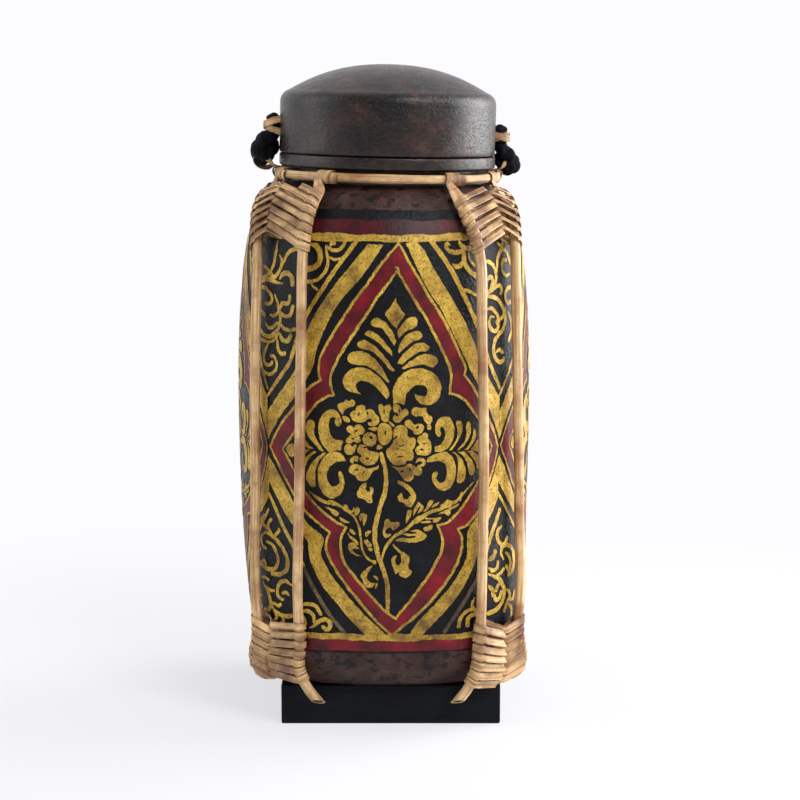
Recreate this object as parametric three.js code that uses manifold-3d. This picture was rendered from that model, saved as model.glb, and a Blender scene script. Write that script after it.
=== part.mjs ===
// Lidded rice box: a lacquered basket on a square plinth, held in a cage of rattan rods.
// The basket is a rounded square at its foot and round at its neck. Eight rods stand at its corners
// in pairs, lashed together with flat rattan strip at top and bottom, and hang on a hoop round the neck.
// A domed lid sits over the spigot of the neck collar and is tied to the hoop by two short cords.
// Millimetres, +Z up, the front faces -Y, and the origin is the middle of the plinth's underside.
import * as THREE from "three";
import { mergeVertices } from "three/addons/utils/BufferGeometryUtils.js";
import Module from "manifold-3d";

const wasm = await Module();
wasm.setup();

// Plinth
const PLINTH_SIDE = 97;
const PLINTH_HEIGHT = 18;
const PLINTH_EDGE = 0.8;

// Basket outline: the belly's half width, how far the foot, heel and shoulder lie inside it,
// and rises above the flat foot
const FOOT_IN = 19;
const HEEL_IN = 4.2;
const HEEL_RISE = 22;
const BELLY_HALF = 66;
const BELLY_RISE = 122;
const SHOULDER_IN = 5.4;
const SHOULDER_RISE = 197;
const NECK_RADIUS = 44.3;
const NECK_RISE = 219.5;
const BASKET_WALL = 3;
const BASKET_FLOOR = 4;
// Curve handles of the outline, as shares of the step to the next named width (out) and rise (up)
const FOOT_HANDLE_OUT = 0.64;
const HEEL_HANDLE_IN = 0.08;
const HEEL_HANDLE_UP = 0.42;
const FLANK_HANDLE_OUT = 0.57;
const FLANK_HANDLE_UP = 0.26;
const BELLY_HANDLE_UP = 0.6;
const WAIST_HANDLE_UP = 0.43;
const SHOULDER_HANDLE_OUT = 0.67;
const SHOULDER_HANDLE_UP = 0.79;
const CREST_HANDLE_IN = 0.18;
const CREST_HANDLE_UP = 0.49;
const NECK_HANDLE_OUT = 0.35;
const NECK_HANDLE_DOWN = 0.13;
// The cross-section is a superellipse: this power at the foot, and 2, a circle, from ROUND_RISE up
const FOOT_POWER = 3;
const ROUND_POWER = 2;
const ROUND_RISE = 92;

// Neck collar and its spigot
const COLLAR_NECK = 6.4;
const LEDGE_OUT = 3.9;
const LEDGE_HEIGHT = 5.3;
const LEDGE_EDGE = 0.6;
const SPIGOT_HEIGHT = 13;

// Lid: it goes over the spigot with this slack
const LID_SLACK = 0.9;
const LID_WALL = 2.9;
const LID_HEIGHT = 39.5;
const LID_SIDE = 22;
const LID_CORNER = 4.2;
const LID_CORNER_RISE = 5.7;
// Curve handles of the dome: how far in from the lid's side, and how far below its top
const DOME_HANDLE_IN = 16.8;
const DOME_HANDLE_DROP = 4.2;
const DOME_TOP_HANDLE_IN = 29.4;
const LID_RIM_EDGE = 0.8;
const LID_SEAT_GAP = 0.3;

// Rattan hoop round the neck
const HOOP_OUT = 4.6;
const HOOP_THICKNESS = 3.8;
const HOOP_RISE = 2.9;

// Upright rods
const ROD_THICKNESS = 4.5;
const ROD_STAND = 4.2;
const ROD_ANGLE = 33.7;
const ROD_TOP_ANGLE_FRONT = 34;
const ROD_TOP_ANGLE_SIDE = 22;
const ROD_TOP_DROP = 5.7;
// A rod lies on the basket at these shares of the way from its foot to its neck, and leans from ROD_LEAN_SHARE up
const ROD_SHARES = [0.11, 0.2, 0.37, 0.56, 0.73, 0.85, 0.9, 0.93, 0.955];
const ROD_LEAN_SHARE = 0.68;
// The free lower end of a rod: how far from the middle of the face, out from the plinth and below its top
const ROD_END_ASIDE = 29.5;
const ROD_END_OUT = 5.5;
const ROD_END_DROP = 7.5;
// From there it bends aside and out past the plinth's edge, and again beside the basket's heel
const ROD_BEND_ASIDE = 5.3;
const ROD_BEND_OUT = 2.8;
const ROD_BEND_RISE = 0.5;
const ROD_HEEL_ASIDE = 9.3;
const ROD_HEEL_OUT = 4.9;
const ROD_HEEL_RISE = 10;

// Flat rattan strip of the lashings and wraps
const STRIP_WIDTH = 3.2;
const STRIP_THICKNESS = 0.9;
const STRIP_CROSSING_WIDTH = 1.5;
// A lashing's strip widens from its crossing between these distances from the ridge
const STRIP_NARROW_TO = 3;
const STRIP_WIDE_FROM = 8;
const LASHING_PITCH = 4.1;
const LASHING_TURNS = 6;
const TOP_LASHING_CLIMB = 4.6;
const BOTTOM_LASHING_CLIMB = -2.5;
const TOP_LASHING_BELOW = 6.3;
const BOTTOM_LASHING_ABOVE = 5.5;
const WRAP_WIDTH = 2.7;
const WRAP_PITCH = 3.8;
const WRAP_TURNS = 1.78;
const WRAP_START = 20;

// Eyelets, loops and cords: heights of the eyelets above the lid's rim, and azimuths in degrees from +X
const CORD_THICKNESS = 5.4;
const KNOT_RADIUS = 3.3;
const KNOT_RISE = 5.6;
const EYELET_WIDTH = 4.8;
const EYELET_THICKNESS = 1;
const LEFT_EYELET_RISE = 11.6;
const RIGHT_EYELET_RISE = 8.4;
const TIE_SIDES = [
  { name: "left", azimuth: 184, eyeletRise: LEFT_EYELET_RISE },
  { name: "right", azimuth: 7, eyeletRise: RIGHT_EYELET_RISE },
];
// A cord leaves its eyelet CORD_DROP lower, and then swings out past the ledge to its loop:
// shares of the way down to the loop, and of the way out
const CORD_DROP = 3.5;
const CORD_SWING = 6.1;
const CORD_SWINGS = [
  { down: 0.25, out: 0.41 },
  { down: 0.49, out: 0.9 },
  { down: 0.765, out: 1 },
];
const CORD_TAIL = 0.8;
// A loop's strip leaves the hoop flat and turns on edge round the cord, LOOP_REACH out from the hoop
const LOOP_REACH = 8.2;
const LOOP_SLACK = 0.4;
const LOOP_TWISTS = [
  { out: 2.2, twist: 0.25 },
  { out: 4.4, twist: 0.8 },
];
const EYELET_LEG_SHORT = 0.4;
const FIT = 0.35;
const SLOT_FIT = 0.3;
const LASHING_FIT = 0.55;

// Places that follow from the sizes
const footHalf = BELLY_HALF - FOOT_IN;
const heelHalf = BELLY_HALF - HEEL_IN;
const shoulderHalf = BELLY_HALF - SHOULDER_IN;
const collarBore = NECK_RADIUS - BASKET_WALL;
const ledgeRadius = NECK_RADIUS + LEDGE_OUT;
const lidRadius = NECK_RADIUS + LID_SLACK + LID_WALL;
const hoopRadius = NECK_RADIUS + HOOP_OUT;
const footZ = PLINTH_HEIGHT;
const heelZ = footZ + HEEL_RISE;
const bellyZ = footZ + BELLY_RISE;
const shoulderZ = footZ + SHOULDER_RISE;
const neckZ = footZ + NECK_RISE;
const ledgeZ = neckZ + COLLAR_NECK;
const ledgeTopZ = ledgeZ + LEDGE_HEIGHT;
const rimZ = ledgeTopZ + LID_SEAT_GAP;
const hoopZ = neckZ + HOOP_RISE;
const rodRadius = ROD_THICKNESS / 2;
const hoopTube = HOOP_THICKNESS / 2;
const cordRadius = CORD_THICKNESS / 2;

const lacquer = new THREE.MeshStandardMaterial({ color: 0x3a2724, roughness: 0.42, metalness: 0 });
const painted = new THREE.MeshStandardMaterial({ color: 0x1d1f2b, roughness: 0.45, metalness: 0 });
const ebony = new THREE.MeshStandardMaterial({ color: 0x14161f, roughness: 0.7, metalness: 0 });
const rattan = new THREE.MeshStandardMaterial({ color: 0xcfa66f, roughness: 0.6, metalness: 0 });
const strip = new THREE.MeshStandardMaterial({ color: 0xc49a62, roughness: 0.65, metalness: 0 });
const cotton = new THREE.MeshStandardMaterial({ color: 0x15151c, roughness: 0.9, metalness: 0 });

const root = new THREE.Group();

function point(x, y, z) {
  return new THREE.Vector3(x, y, z);
}

// A point given by its distance from the axis, its azimuth in radians and its height
function polar(radius, azimuth, z) {
  return point(radius * Math.cos(azimuth), radius * Math.sin(azimuth), z);
}

function add(name, geometry, material) {
  geometry.computeVertexNormals();
  const mesh = new THREE.Mesh(geometry, material);
  mesh.name = name;
  root.add(mesh);
  return mesh;
}

// The shared-vertex copy of a geometry, with its faces turned to point outwards
function closed(geometry) {
  const bare = new THREE.BufferGeometry();
  bare.setAttribute("position", geometry.getAttribute("position").clone());
  if (geometry.index) bare.setIndex(geometry.index.clone());
  const merged = mergeVertices(bare, 1e-3);
  const at = merged.getAttribute("position");
  const index = merged.index.array;
  const [a, b, c] = [point(), point(), point()];
  const kept = [];
  let volume = 0;
  for (let i = 0; i < index.length; i += 3) {
    if (index[i] === index[i + 1] || index[i + 1] === index[i + 2] || index[i] === index[i + 2]) continue;
    kept.push(index[i], index[i + 1], index[i + 2]);
    a.fromBufferAttribute(at, index[i]);
    b.fromBufferAttribute(at, index[i + 1]);
    c.fromBufferAttribute(at, index[i + 2]);
    volume += a.dot(b.cross(c)) / 6;
  }
  if (volume < 0) {
    for (let i = 0; i < kept.length; i += 3) {
      [kept[i + 1], kept[i + 2]] = [kept[i + 2], kept[i + 1]];
    }
  }
  merged.setIndex(kept);
  return merged;
}

function solid(geometry) {
  const bare = closed(geometry);
  return new wasm.Manifold(
    new wasm.Mesh({
      numProp: 3,
      vertProperties: new Float32Array(bare.getAttribute("position").array),
      triVerts: new Uint32Array(bare.index.array),
    }),
  );
}

function geometryOf(manifold) {
  const made = manifold.getMesh();
  const geometry = new THREE.BufferGeometry();
  geometry.setAttribute("position", new THREE.BufferAttribute(made.vertProperties, 3));
  geometry.setIndex(new THREE.BufferAttribute(made.triVerts, 1));
  return geometry;
}

// A lathed body round the Z axis
function turned(profile, segments) {
  return closed(new THREE.LatheGeometry(profile, segments).rotateX(Math.PI / 2));
}

// Basket outline and surface

const outline = new THREE.Path();
outline.moveTo(footHalf, footZ);
outline.bezierCurveTo(
  footHalf + FOOT_HANDLE_OUT * (heelHalf - footHalf),
  footZ,
  heelHalf - HEEL_HANDLE_IN * (heelHalf - footHalf),
  footZ + HEEL_HANDLE_UP * HEEL_RISE,
  heelHalf,
  heelZ,
);
outline.bezierCurveTo(
  heelHalf + FLANK_HANDLE_OUT * (BELLY_HALF - heelHalf),
  heelZ + FLANK_HANDLE_UP * (bellyZ - heelZ),
  BELLY_HALF,
  heelZ + BELLY_HANDLE_UP * (bellyZ - heelZ),
  BELLY_HALF,
  bellyZ,
);
outline.bezierCurveTo(
  BELLY_HALF,
  bellyZ + WAIST_HANDLE_UP * (shoulderZ - bellyZ),
  shoulderHalf + SHOULDER_HANDLE_OUT * (BELLY_HALF - shoulderHalf),
  bellyZ + SHOULDER_HANDLE_UP * (shoulderZ - bellyZ),
  shoulderHalf,
  shoulderZ,
);
outline.bezierCurveTo(
  shoulderHalf - CREST_HANDLE_IN * (shoulderHalf - NECK_RADIUS),
  shoulderZ + CREST_HANDLE_UP * (neckZ - shoulderZ),
  NECK_RADIUS + NECK_HANDLE_OUT * (shoulderHalf - NECK_RADIUS),
  neckZ - NECK_HANDLE_DOWN * (neckZ - shoulderZ),
  NECK_RADIUS,
  neckZ,
);
const fineOutline = outline.getPoints(60);

function halfWidthAt(z) {
  const above = fineOutline.findIndex((p) => p.y >= z);
  if (above < 0) return NECK_RADIUS;
  if (above === 0) return footHalf;
  const [low, high] = [fineOutline[above - 1], fineOutline[above]];
  return THREE.MathUtils.mapLinear(z, low.y, high.y, low.x, high.x);
}

function powerAt(z) {
  const share = THREE.MathUtils.smoothstep(z, heelZ, footZ + ROUND_RISE);
  return THREE.MathUtils.lerp(FOOT_POWER, ROUND_POWER, share);
}

// How much further out the superellipse is at an azimuth than on the middle of a face
function cornerFactor(azimuth, z) {
  const n = powerAt(z);
  return (Math.abs(Math.cos(azimuth)) ** n + Math.abs(Math.sin(azimuth)) ** n) ** (-1 / n);
}

function basketPoint(azimuth, z) {
  return polar(halfWidthAt(z) * cornerFactor(azimuth, z), azimuth, z);
}

// The point at a distance off the basket's surface, square to it
function offBasket(azimuth, z, distance) {
  const step = 0.4;
  const across = basketPoint(azimuth + step / BELLY_HALF, z).sub(basketPoint(azimuth - step / BELLY_HALF, z));
  const up = basketPoint(azimuth, z + step).sub(basketPoint(azimuth, z - step));
  const normal = across.cross(up).normalize();
  return basketPoint(azimuth, z).addScaledVector(normal, distance);
}

function makeBasket() {
  const outer = outline.getPoints(4);
  const inner = [];
  for (let i = outer.length - 2; i > 0; i -= 1) {
    const along = outer[i + 1].clone().sub(outer[i - 1]).normalize();
    const p = new THREE.Vector2(outer[i].x - BASKET_WALL * along.y, outer[i].y + BASKET_WALL * along.x);
    if (p.y > footZ + BASKET_FLOOR + 1 && p.y < neckZ - BASKET_WALL) inner.push(p);
  }
  const mouth = new THREE.Vector2(collarBore, neckZ);
  const floorEdge = new THREE.Vector2(inner[inner.length - 1].x - 2, footZ + BASKET_FLOOR);
  const floorMiddle = new THREE.Vector2(0, footZ + BASKET_FLOOR);
  const profile = [new THREE.Vector2(0, footZ), ...outer, mouth, ...inner, floorEdge, floorMiddle];
  const geometry = turned(profile, 32);
  const at = geometry.getAttribute("position");
  for (let i = 0; i < at.count; i += 1) {
    const factor = cornerFactor(Math.atan2(at.getY(i), at.getX(i)), at.getZ(i));
    at.setXY(i, at.getX(i) * factor, at.getY(i) * factor);
  }
  return geometry;
}

function makePlinth() {
  const half = PLINTH_SIDE / 2 - PLINTH_EDGE;
  const square = new THREE.Shape([
    new THREE.Vector2(-half, -half),
    new THREE.Vector2(half, -half),
    new THREE.Vector2(half, half),
    new THREE.Vector2(-half, half),
  ]);
  const block = new THREE.ExtrudeGeometry(square, {
    depth: PLINTH_HEIGHT - 2 * PLINTH_EDGE,
    bevelThickness: PLINTH_EDGE,
    bevelSize: PLINTH_EDGE,
    bevelSegments: 1,
  });
  return closed(block.translate(0, 0, PLINTH_EDGE));
}

function makeCollar() {
  const spigotTop = ledgeTopZ + SPIGOT_HEIGHT;
  const profile = [
    [collarBore, neckZ],
    [NECK_RADIUS, neckZ],
    [NECK_RADIUS, ledgeZ],
    [ledgeRadius - LEDGE_EDGE, ledgeZ],
    [ledgeRadius, ledgeZ + LEDGE_EDGE],
    [ledgeRadius, ledgeTopZ - LEDGE_EDGE],
    [ledgeRadius - LEDGE_EDGE, ledgeTopZ],
    [NECK_RADIUS, ledgeTopZ],
    [NECK_RADIUS, spigotTop - LEDGE_EDGE],
    [NECK_RADIUS - LEDGE_EDGE, spigotTop],
    [collarBore, spigotTop],
    [collarBore, neckZ],
  ];
  return turned(profile.map(([x, y]) => new THREE.Vector2(x, y)), 40);
}

// The lid's outline from its rim to the top of the dome: a wall, a rounded corner and a shallow dome
function lidOutline(radius, bottom, inset) {
  const path = new THREE.Path();
  const cornerZ = rimZ + LID_SIDE;
  const corner = LID_CORNER - inset / 2;
  const rise = LID_CORNER_RISE - inset / 2;
  const top = rimZ + LID_HEIGHT - inset;
  path.moveTo(radius, bottom);
  path.lineTo(radius, cornerZ);
  path.quadraticCurveTo(radius, cornerZ + corner, radius - corner, cornerZ + rise);
  path.bezierCurveTo(
    radius - DOME_HANDLE_IN,
    top - DOME_HANDLE_DROP,
    radius - DOME_TOP_HANDLE_IN,
    top,
    0,
    top,
  );
  return path.getPoints(4);
}

function eyeletFrame(side) {
  return { azimuth: THREE.MathUtils.degToRad(side.azimuth), z: rimZ + side.eyeletRise };
}

const eyeletBend = cordRadius + FIT + EYELET_THICKNESS / 2;
const cordOut = lidRadius + cordRadius + FIT;

function makeLid() {
  const outer = lidOutline(lidRadius, rimZ + LID_RIM_EDGE, 0);
  const inner = lidOutline(lidRadius - LID_WALL, rimZ, LID_WALL).reverse();
  const rim = new THREE.Vector2(lidRadius - LID_RIM_EDGE, rimZ);
  const start = new THREE.Vector2(lidRadius - LID_WALL, rimZ);
  const shell = turned([start, rim, ...outer, ...inner], 36);
  let lid = solid(shell);
  for (const side of TIE_SIDES) {
    const { azimuth, z } = eyeletFrame(side);
    for (const aside of [-eyeletBend, eyeletBend]) {
      const slot = new THREE.BoxGeometry(
        3 * LID_WALL,
        EYELET_THICKNESS + 2 * SLOT_FIT,
        EYELET_WIDTH + 2 * SLOT_FIT,
      );
      slot.translate(lidRadius, aside, z).rotateZ(azimuth);
      lid = lid.subtract(solid(slot));
    }
  }
  return closed(geometryOf(lid));
}

// A round bar along a curve, its ends cut square
function bar(curve, radius, sides, steps) {
  const section = [];
  for (let i = 0; i < sides; i += 1) {
    const turn = (2 * Math.PI * i) / sides;
    section.push(new THREE.Vector2(radius * Math.cos(turn), radius * Math.sin(turn)));
  }
  return closed(
    new THREE.ExtrudeGeometry(new THREE.Shape(section), { steps, bevelEnabled: false, extrudePath: curve }),
  );
}

// A flat strip through stations, each with its middle, its width direction and its width
function ribbon(stations, thickness) {
  const positions = [];
  const rows = stations.map(({ at, across, width }, i) => {
    const before = stations[Math.max(i - 1, 0)].at;
    const after = stations[Math.min(i + 1, stations.length - 1)].at;
    const along = after.clone().sub(before).normalize();
    const wide = across.clone().addScaledVector(along, -across.dot(along)).normalize();
    const thick = along.clone().cross(wide);
    const corners = [];
    for (const [w, t] of [[-1, -1], [1, -1], [1, 1], [-1, 1]]) {
      corners.push(
        at.clone().addScaledVector(wide, (w * width) / 2).addScaledVector(thick, (t * thickness) / 2),
      );
    }
    return corners;
  });
  rows.flat().forEach((p) => positions.push(p.x, p.y, p.z));
  const index = [0, 1, 2, 0, 2, 3];
  for (let i = 0; i + 1 < rows.length; i += 1) {
    for (let k = 0; k < 4; k += 1) {
      const [a, b] = [4 * i + k, 4 * i + ((k + 1) % 4)];
      index.push(a, a + 4, b, b, a + 4, b + 4);
    }
  }
  const last = 4 * (rows.length - 1);
  index.push(last, last + 2, last + 1, last, last + 3, last + 2);
  const geometry = new THREE.BufferGeometry();
  geometry.setAttribute("position", new THREE.Float32BufferAttribute(positions, 3));
  geometry.setIndex(index);
  return { geometry: closed(geometry), rows };
}

// The least distance between the surface points of two turns of one strip
function leastGap(rows, perTurn) {
  const ring = rows.map((corners) =>
    corners.flatMap((p, k) => [p, p.clone().lerp(corners[(k + 1) % 4], 0.5)]),
  );
  const dense = [];
  ring.forEach((points, i) => {
    dense.push({ station: i, points });
    if (i + 1 < ring.length) {
      dense.push({ station: i + 0.5, points: points.map((p, k) => p.clone().lerp(ring[i + 1][k], 0.5)) });
    }
  });
  let least = Infinity;
  for (let i = 0; i < dense.length; i += 1) {
    for (let j = i + 1; j < dense.length; j += 1) {
      if (dense[j].station - dense[i].station < perTurn / 3) continue;
      for (const p of dense[i].points) {
        for (const q of dense[j].points) {
          least = Math.min(least, p.distanceTo(q));
        }
      }
    }
  }
  return least;
}

// Rods. Faces in order round the basket, by the azimuth of their middle
const FACES = [
  { name: "front", azimuth: -90, topAngle: ROD_TOP_ANGLE_FRONT },
  { name: "right", azimuth: 0, topAngle: ROD_TOP_ANGLE_SIDE },
  { name: "back", azimuth: 90, topAngle: ROD_TOP_ANGLE_FRONT },
  { name: "left", azimuth: 180, topAngle: ROD_TOP_ANGLE_SIDE },
];

// A point in a face's own directions: aside from its middle, out from the axis, and up
function onFace(face, aside, out, z) {
  return point(out, aside, z).applyAxisAngle(point(0, 0, 1), THREE.MathUtils.degToRad(face.azimuth));
}

function rodCurve(face, turn) {
  const out = PLINTH_SIDE / 2 + ROD_END_OUT;
  const topRise = NECK_RISE - ROD_TOP_DROP;
  const points = [onFace(face, turn * ROD_END_ASIDE, out, footZ - ROD_END_DROP)];
  const bendAside = ROD_END_ASIDE + ROD_BEND_ASIDE;
  const heelAside = ROD_END_ASIDE + ROD_HEEL_ASIDE;
  points.push(onFace(face, turn * bendAside, out + ROD_BEND_OUT, footZ + ROD_BEND_RISE));
  points.push(onFace(face, turn * heelAside, out + ROD_HEEL_OUT, footZ + ROD_HEEL_RISE));
  for (const rise of [...ROD_SHARES.map((share) => share * NECK_RISE), topRise]) {
    const lean = THREE.MathUtils.smoothstep(rise, ROD_LEAN_SHARE * NECK_RISE, topRise);
    const angle = THREE.MathUtils.lerp(ROD_ANGLE, face.topAngle, lean);
    const azimuth = THREE.MathUtils.degToRad(face.azimuth + turn * angle);
    points.push(offBasket(azimuth, footZ + rise, ROD_STAND));
  }
  const curve = new THREE.CatmullRomCurve3(points, false, "centripetal");
  curve.arcLengthDivisions = 600;
  return curve;
}

const rods = [];
FACES.forEach((face, i) => {
  const next = FACES[(i + 1) % 4];
  const previous = FACES[(i + 3) % 4];
  rods.push({ name: `${face.name}_${previous.name}`, face, curve: rodCurve(face, -1), turn: -1 });
  rods.push({ name: `${face.name}_${next.name}`, face, curve: rodCurve(face, 1), turn: 1 });
});

// The length along a rod, from its lower end, at which it reaches a height
function lengthAtHeight(curve, z) {
  let [low, high] = [0, 1];
  for (let i = 0; i < 40; i += 1) {
    const middle = (low + high) / 2;
    if (curve.getPointAt(middle).z < z) {
      low = middle;
    } else {
      high = middle;
    }
  }
  return low * curve.getLength();
}

// A lashing winds a strip in a figure of eight round two rods, with its crossings on the corner ridge.
// It starts at a length along the rods and goes up, and climb lifts its crossings above its bends.
function lashing(rodA, rodB, start, climb) {
  const bend = rodRadius + LASHING_FIT + STRIP_THICKNESS / 2;
  const bendSteps = 5;
  const armSteps = 3;
  const perTurn = 2 * (bendSteps + armSteps);
  const stations = [];
  // The two rods at a length along them, seen from the middle between them (side 0) or from one (side -1 or 1)
  const frameAt = (length, side) => {
    const [uA, uB] = [length / rodA.getLength(), length / rodB.getLength()];
    const [a, b] = [rodA.getPointAt(uA), rodB.getPointAt(uB)];
    const [upA, upB] = [rodA.getTangentAt(uA), rodB.getTangentAt(uB)];
    const chord = b.clone().sub(a);
    const up = upA.multiplyScalar(1 - side).addScaledVector(upB, 1 + side).normalize();
    const out = chord.clone().cross(up).normalize();
    const middle = a.multiplyScalar(1 - side).addScaledVector(b, 1 + side).multiplyScalar(0.5);
    if (out.dot(middle.clone().setZ(0)) < 0) out.negate();
    const along = up.clone().cross(out);
    if (along.dot(chord) < 0) along.negate();
    return { middle, half: chord.length() / 2, along, out, up };
  };
  const first = frameAt(start, 0);
  const leave = Math.PI / 2 - Math.asin(bend / first.half);
  const path = [];
  for (const sign of [-1, 1]) {
    for (let k = 0; k <= bendSteps - 1; k += 1) {
      const turn = THREE.MathUtils.lerp(-leave, -2 * Math.PI + leave, k / (bendSteps - 1));
      path.push({ sign, from: -sign * bend * Math.cos(turn), out: bend * Math.sin(turn) });
    }
    const height = bend * Math.sin(leave);
    for (let k = 1; k <= armSteps; k += 1) {
      const side = 1 - (2 * k) / (armSteps + 1);
      path.push({ arm: true, sign: sign * side, from: 0, out: height * side });
    }
  }
  const count = LASHING_TURNS * perTurn;
  for (let i = 0; i <= count; i += 1) {
    const step = path[i % perTurn];
    const level = start + (LASHING_PITCH * i) / perTurn;
    const reach = first.half - bend * Math.cos(leave);
    const across = step.arm ? step.sign * reach : step.sign * first.half + step.from;
    const share = Math.min(Math.abs(across) / first.half, 1);
    const lifted = level + climb * (1 - share * share);
    const frame = frameAt(lifted, step.arm ? 0 : step.sign);
    const aside = step.arm ? (across * frame.half) / first.half : step.from;
    const at = frame.middle.clone().addScaledVector(frame.along, aside).addScaledVector(frame.out, step.out);
    const narrow = THREE.MathUtils.smoothstep(Math.abs(across), STRIP_NARROW_TO, STRIP_WIDE_FROM);
    const width = THREE.MathUtils.lerp(STRIP_CROSSING_WIDTH, STRIP_WIDTH, narrow);
    stations.push({ at, across: frame.up, width });
  }
  const { geometry, rows } = ribbon(stations, STRIP_THICKNESS);
  return { geometry, gap: leastGap(rows, perTurn) };
}

// The pared top end of a rod rises from the rod and winds round the hoop
function hoopWrap(rod) {
  const stations = [];
  const top = rod.curve.getPointAt(1);
  const azimuth = Math.atan2(top.y, top.x);
  const away = polar(1, azimuth, 0);
  const aside = point(-away.y, away.x, 0);
  const bend = hoopTube + FIT + STRIP_THICKNESS / 2;
  const place = (out, side, up) => {
    const onHoop = polar(hoopRadius + out, azimuth + side / hoopRadius, hoopZ + up);
    return { at: onHoop, across: aside, width: WRAP_WIDTH };
  };
  const tip = rod.curve.getTangentAt(1).multiplyScalar(SLOT_FIT + STRIP_THICKNESS);
  stations.push({ at: top.clone().add(tip), across: aside, width: WRAP_WIDTH });
  const firstTurn = THREE.MathUtils.degToRad(WRAP_START);
  const perTurn = 10;
  const steps = Math.round(WRAP_TURNS * perTurn);
  for (let i = 0; i <= steps; i += 1) {
    const turn = firstTurn + (2 * Math.PI * i) / perTurn;
    const side = WRAP_PITCH * (i / perTurn - 0.5);
    stations.push(place(bend * Math.cos(turn), side, bend * Math.sin(turn)));
  }
  const { geometry, rows } = ribbon(stations, STRIP_THICKNESS);
  return { geometry, gap: leastGap(rows, perTurn) };
}

// A U of strip round the cord, its two legs in slots through the lid's wall
function eyelet(side) {
  const { azimuth, z } = eyeletFrame(side);
  const legEnd = lidRadius - LID_WALL + EYELET_LEG_SHORT;
  const spots = [[legEnd, -eyeletBend]];
  const bendSteps = 8;
  for (let i = 0; i <= bendSteps; i += 1) {
    const turn = -Math.PI / 2 + (Math.PI * i) / bendSteps;
    spots.push([cordOut + eyeletBend * Math.cos(turn), eyeletBend * Math.sin(turn)]);
  }
  spots.push([legEnd, eyeletBend]);
  const stations = spots.map(([out, aside]) => ({
    at: point(out, aside, z).applyAxisAngle(point(0, 0, 1), azimuth),
    across: point(0, 0, 1),
    width: EYELET_WIDTH,
  }));
  return ribbon(stations, EYELET_THICKNESS).geometry;
}

// A strip wound once round the hoop, out and round the cord, and back to one more turn round the hoop
const loopBend = cordRadius + FIT + STRIP_THICKNESS / 2 + LOOP_SLACK;

function cordLoop(side) {
  const azimuth = THREE.MathUtils.degToRad(side.azimuth);
  const bend = hoopTube + FIT + STRIP_THICKNESS / 2;
  const wrapSteps = 10;
  const loopZ = hoopZ + bend;
  const half = [];
  for (let i = 0; i < wrapSteps; i += 1) {
    const turn = Math.PI / 2 + (2 * Math.PI * (wrapSteps - i)) / wrapSteps;
    const aside = loopBend + WRAP_PITCH * (1 - i / wrapSteps);
    const round = polar(hoopRadius + bend * Math.cos(turn), aside / hoopRadius, 0);
    half.push({ out: round.x - hoopRadius, aside: round.y, up: bend * Math.sin(turn) - bend, twist: 0 });
  }
  for (const { out, twist } of [{ out: 0, twist: 0 }, ...LOOP_TWISTS]) {
    half.push({ out, aside: loopBend, up: 0, twist });
  }
  const bendSteps = 8;
  for (let i = 0; i <= bendSteps / 2; i += 1) {
    const turn = Math.PI / 2 - (Math.PI * i) / bendSteps;
    half.push({
      out: LOOP_REACH + loopBend * Math.cos(turn),
      aside: loopBend * Math.sin(turn),
      up: 0,
      twist: 1,
    });
  }
  const mirrored = half.slice(0, -1).reverse().map((spot) => ({ ...spot, aside: -spot.aside }));
  const stations = [...half, ...mirrored].map(({ out, aside, up, twist }) => {
    const flat = point(0, aside < 0 ? -1 : 1, 0);
    const across = flat.multiplyScalar(1 - twist).add(point(0, 0, twist));
    const axis = point(0, 0, 1);
    return {
      at: point(hoopRadius + out, aside, loopZ + up).applyAxisAngle(axis, azimuth),
      across: across.applyAxisAngle(axis, azimuth),
      width: WRAP_WIDTH,
    };
  });
  const { geometry, rows } = ribbon(stations, STRIP_THICKNESS);
  return { geometry, gap: leastGap(rows, wrapSteps) };
}

// A cord from its ball knot down through the eyelet, out past the ledge and down through the loop
function cord(side) {
  const azimuth = THREE.MathUtils.degToRad(side.azimuth);
  const eyeletZ = rimZ + side.eyeletRise;
  const leaveZ = eyeletZ - CORD_DROP;
  const loopZ = hoopZ + hoopTube;
  const route = [
    polar(cordOut + SLOT_FIT, azimuth, eyeletZ + KNOT_RISE),
    polar(cordOut, azimuth, eyeletZ),
    polar(cordOut, azimuth, leaveZ),
  ];
  for (const { down, out } of CORD_SWINGS) {
    route.push(polar(cordOut + out * CORD_SWING, azimuth, THREE.MathUtils.lerp(leaveZ, loopZ, down)));
  }
  route.push(polar(hoopRadius + LOOP_REACH, azimuth, loopZ));
  route.push(polar(hoopRadius + LOOP_REACH, azimuth, hoopZ - CORD_TAIL));
  const tube = bar(new THREE.CatmullRomCurve3(route), cordRadius, 8, 14);
  const knot = new THREE.IcosahedronGeometry(KNOT_RADIUS, 1);
  knot.translate(route[0].x, route[0].y, route[0].z);
  return closed(geometryOf(solid(tube).add(solid(knot))));
}

add("plinth", makePlinth(), ebony);
add("basket", makeBasket(), painted);
add("neck_collar", makeCollar(), lacquer);
add("lid", makeLid(), lacquer);
const hoop = new THREE.TorusGeometry(hoopRadius, hoopTube, 6, 48).translate(0, 0, hoopZ);
add("neck_hoop", closed(hoop), rattan);

for (const rod of rods) {
  add(`rod_${rod.name}`, bar(rod.curve, rodRadius, 6, 34), rattan);
  const wrap = hoopWrap(rod);
  add(`hoop_wrap_${rod.name}`, wrap.geometry, strip);
  console.log(`hoop_wrap_${rod.name}: least gap between turns ${wrap.gap.toFixed(2)} mm`);
}

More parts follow.
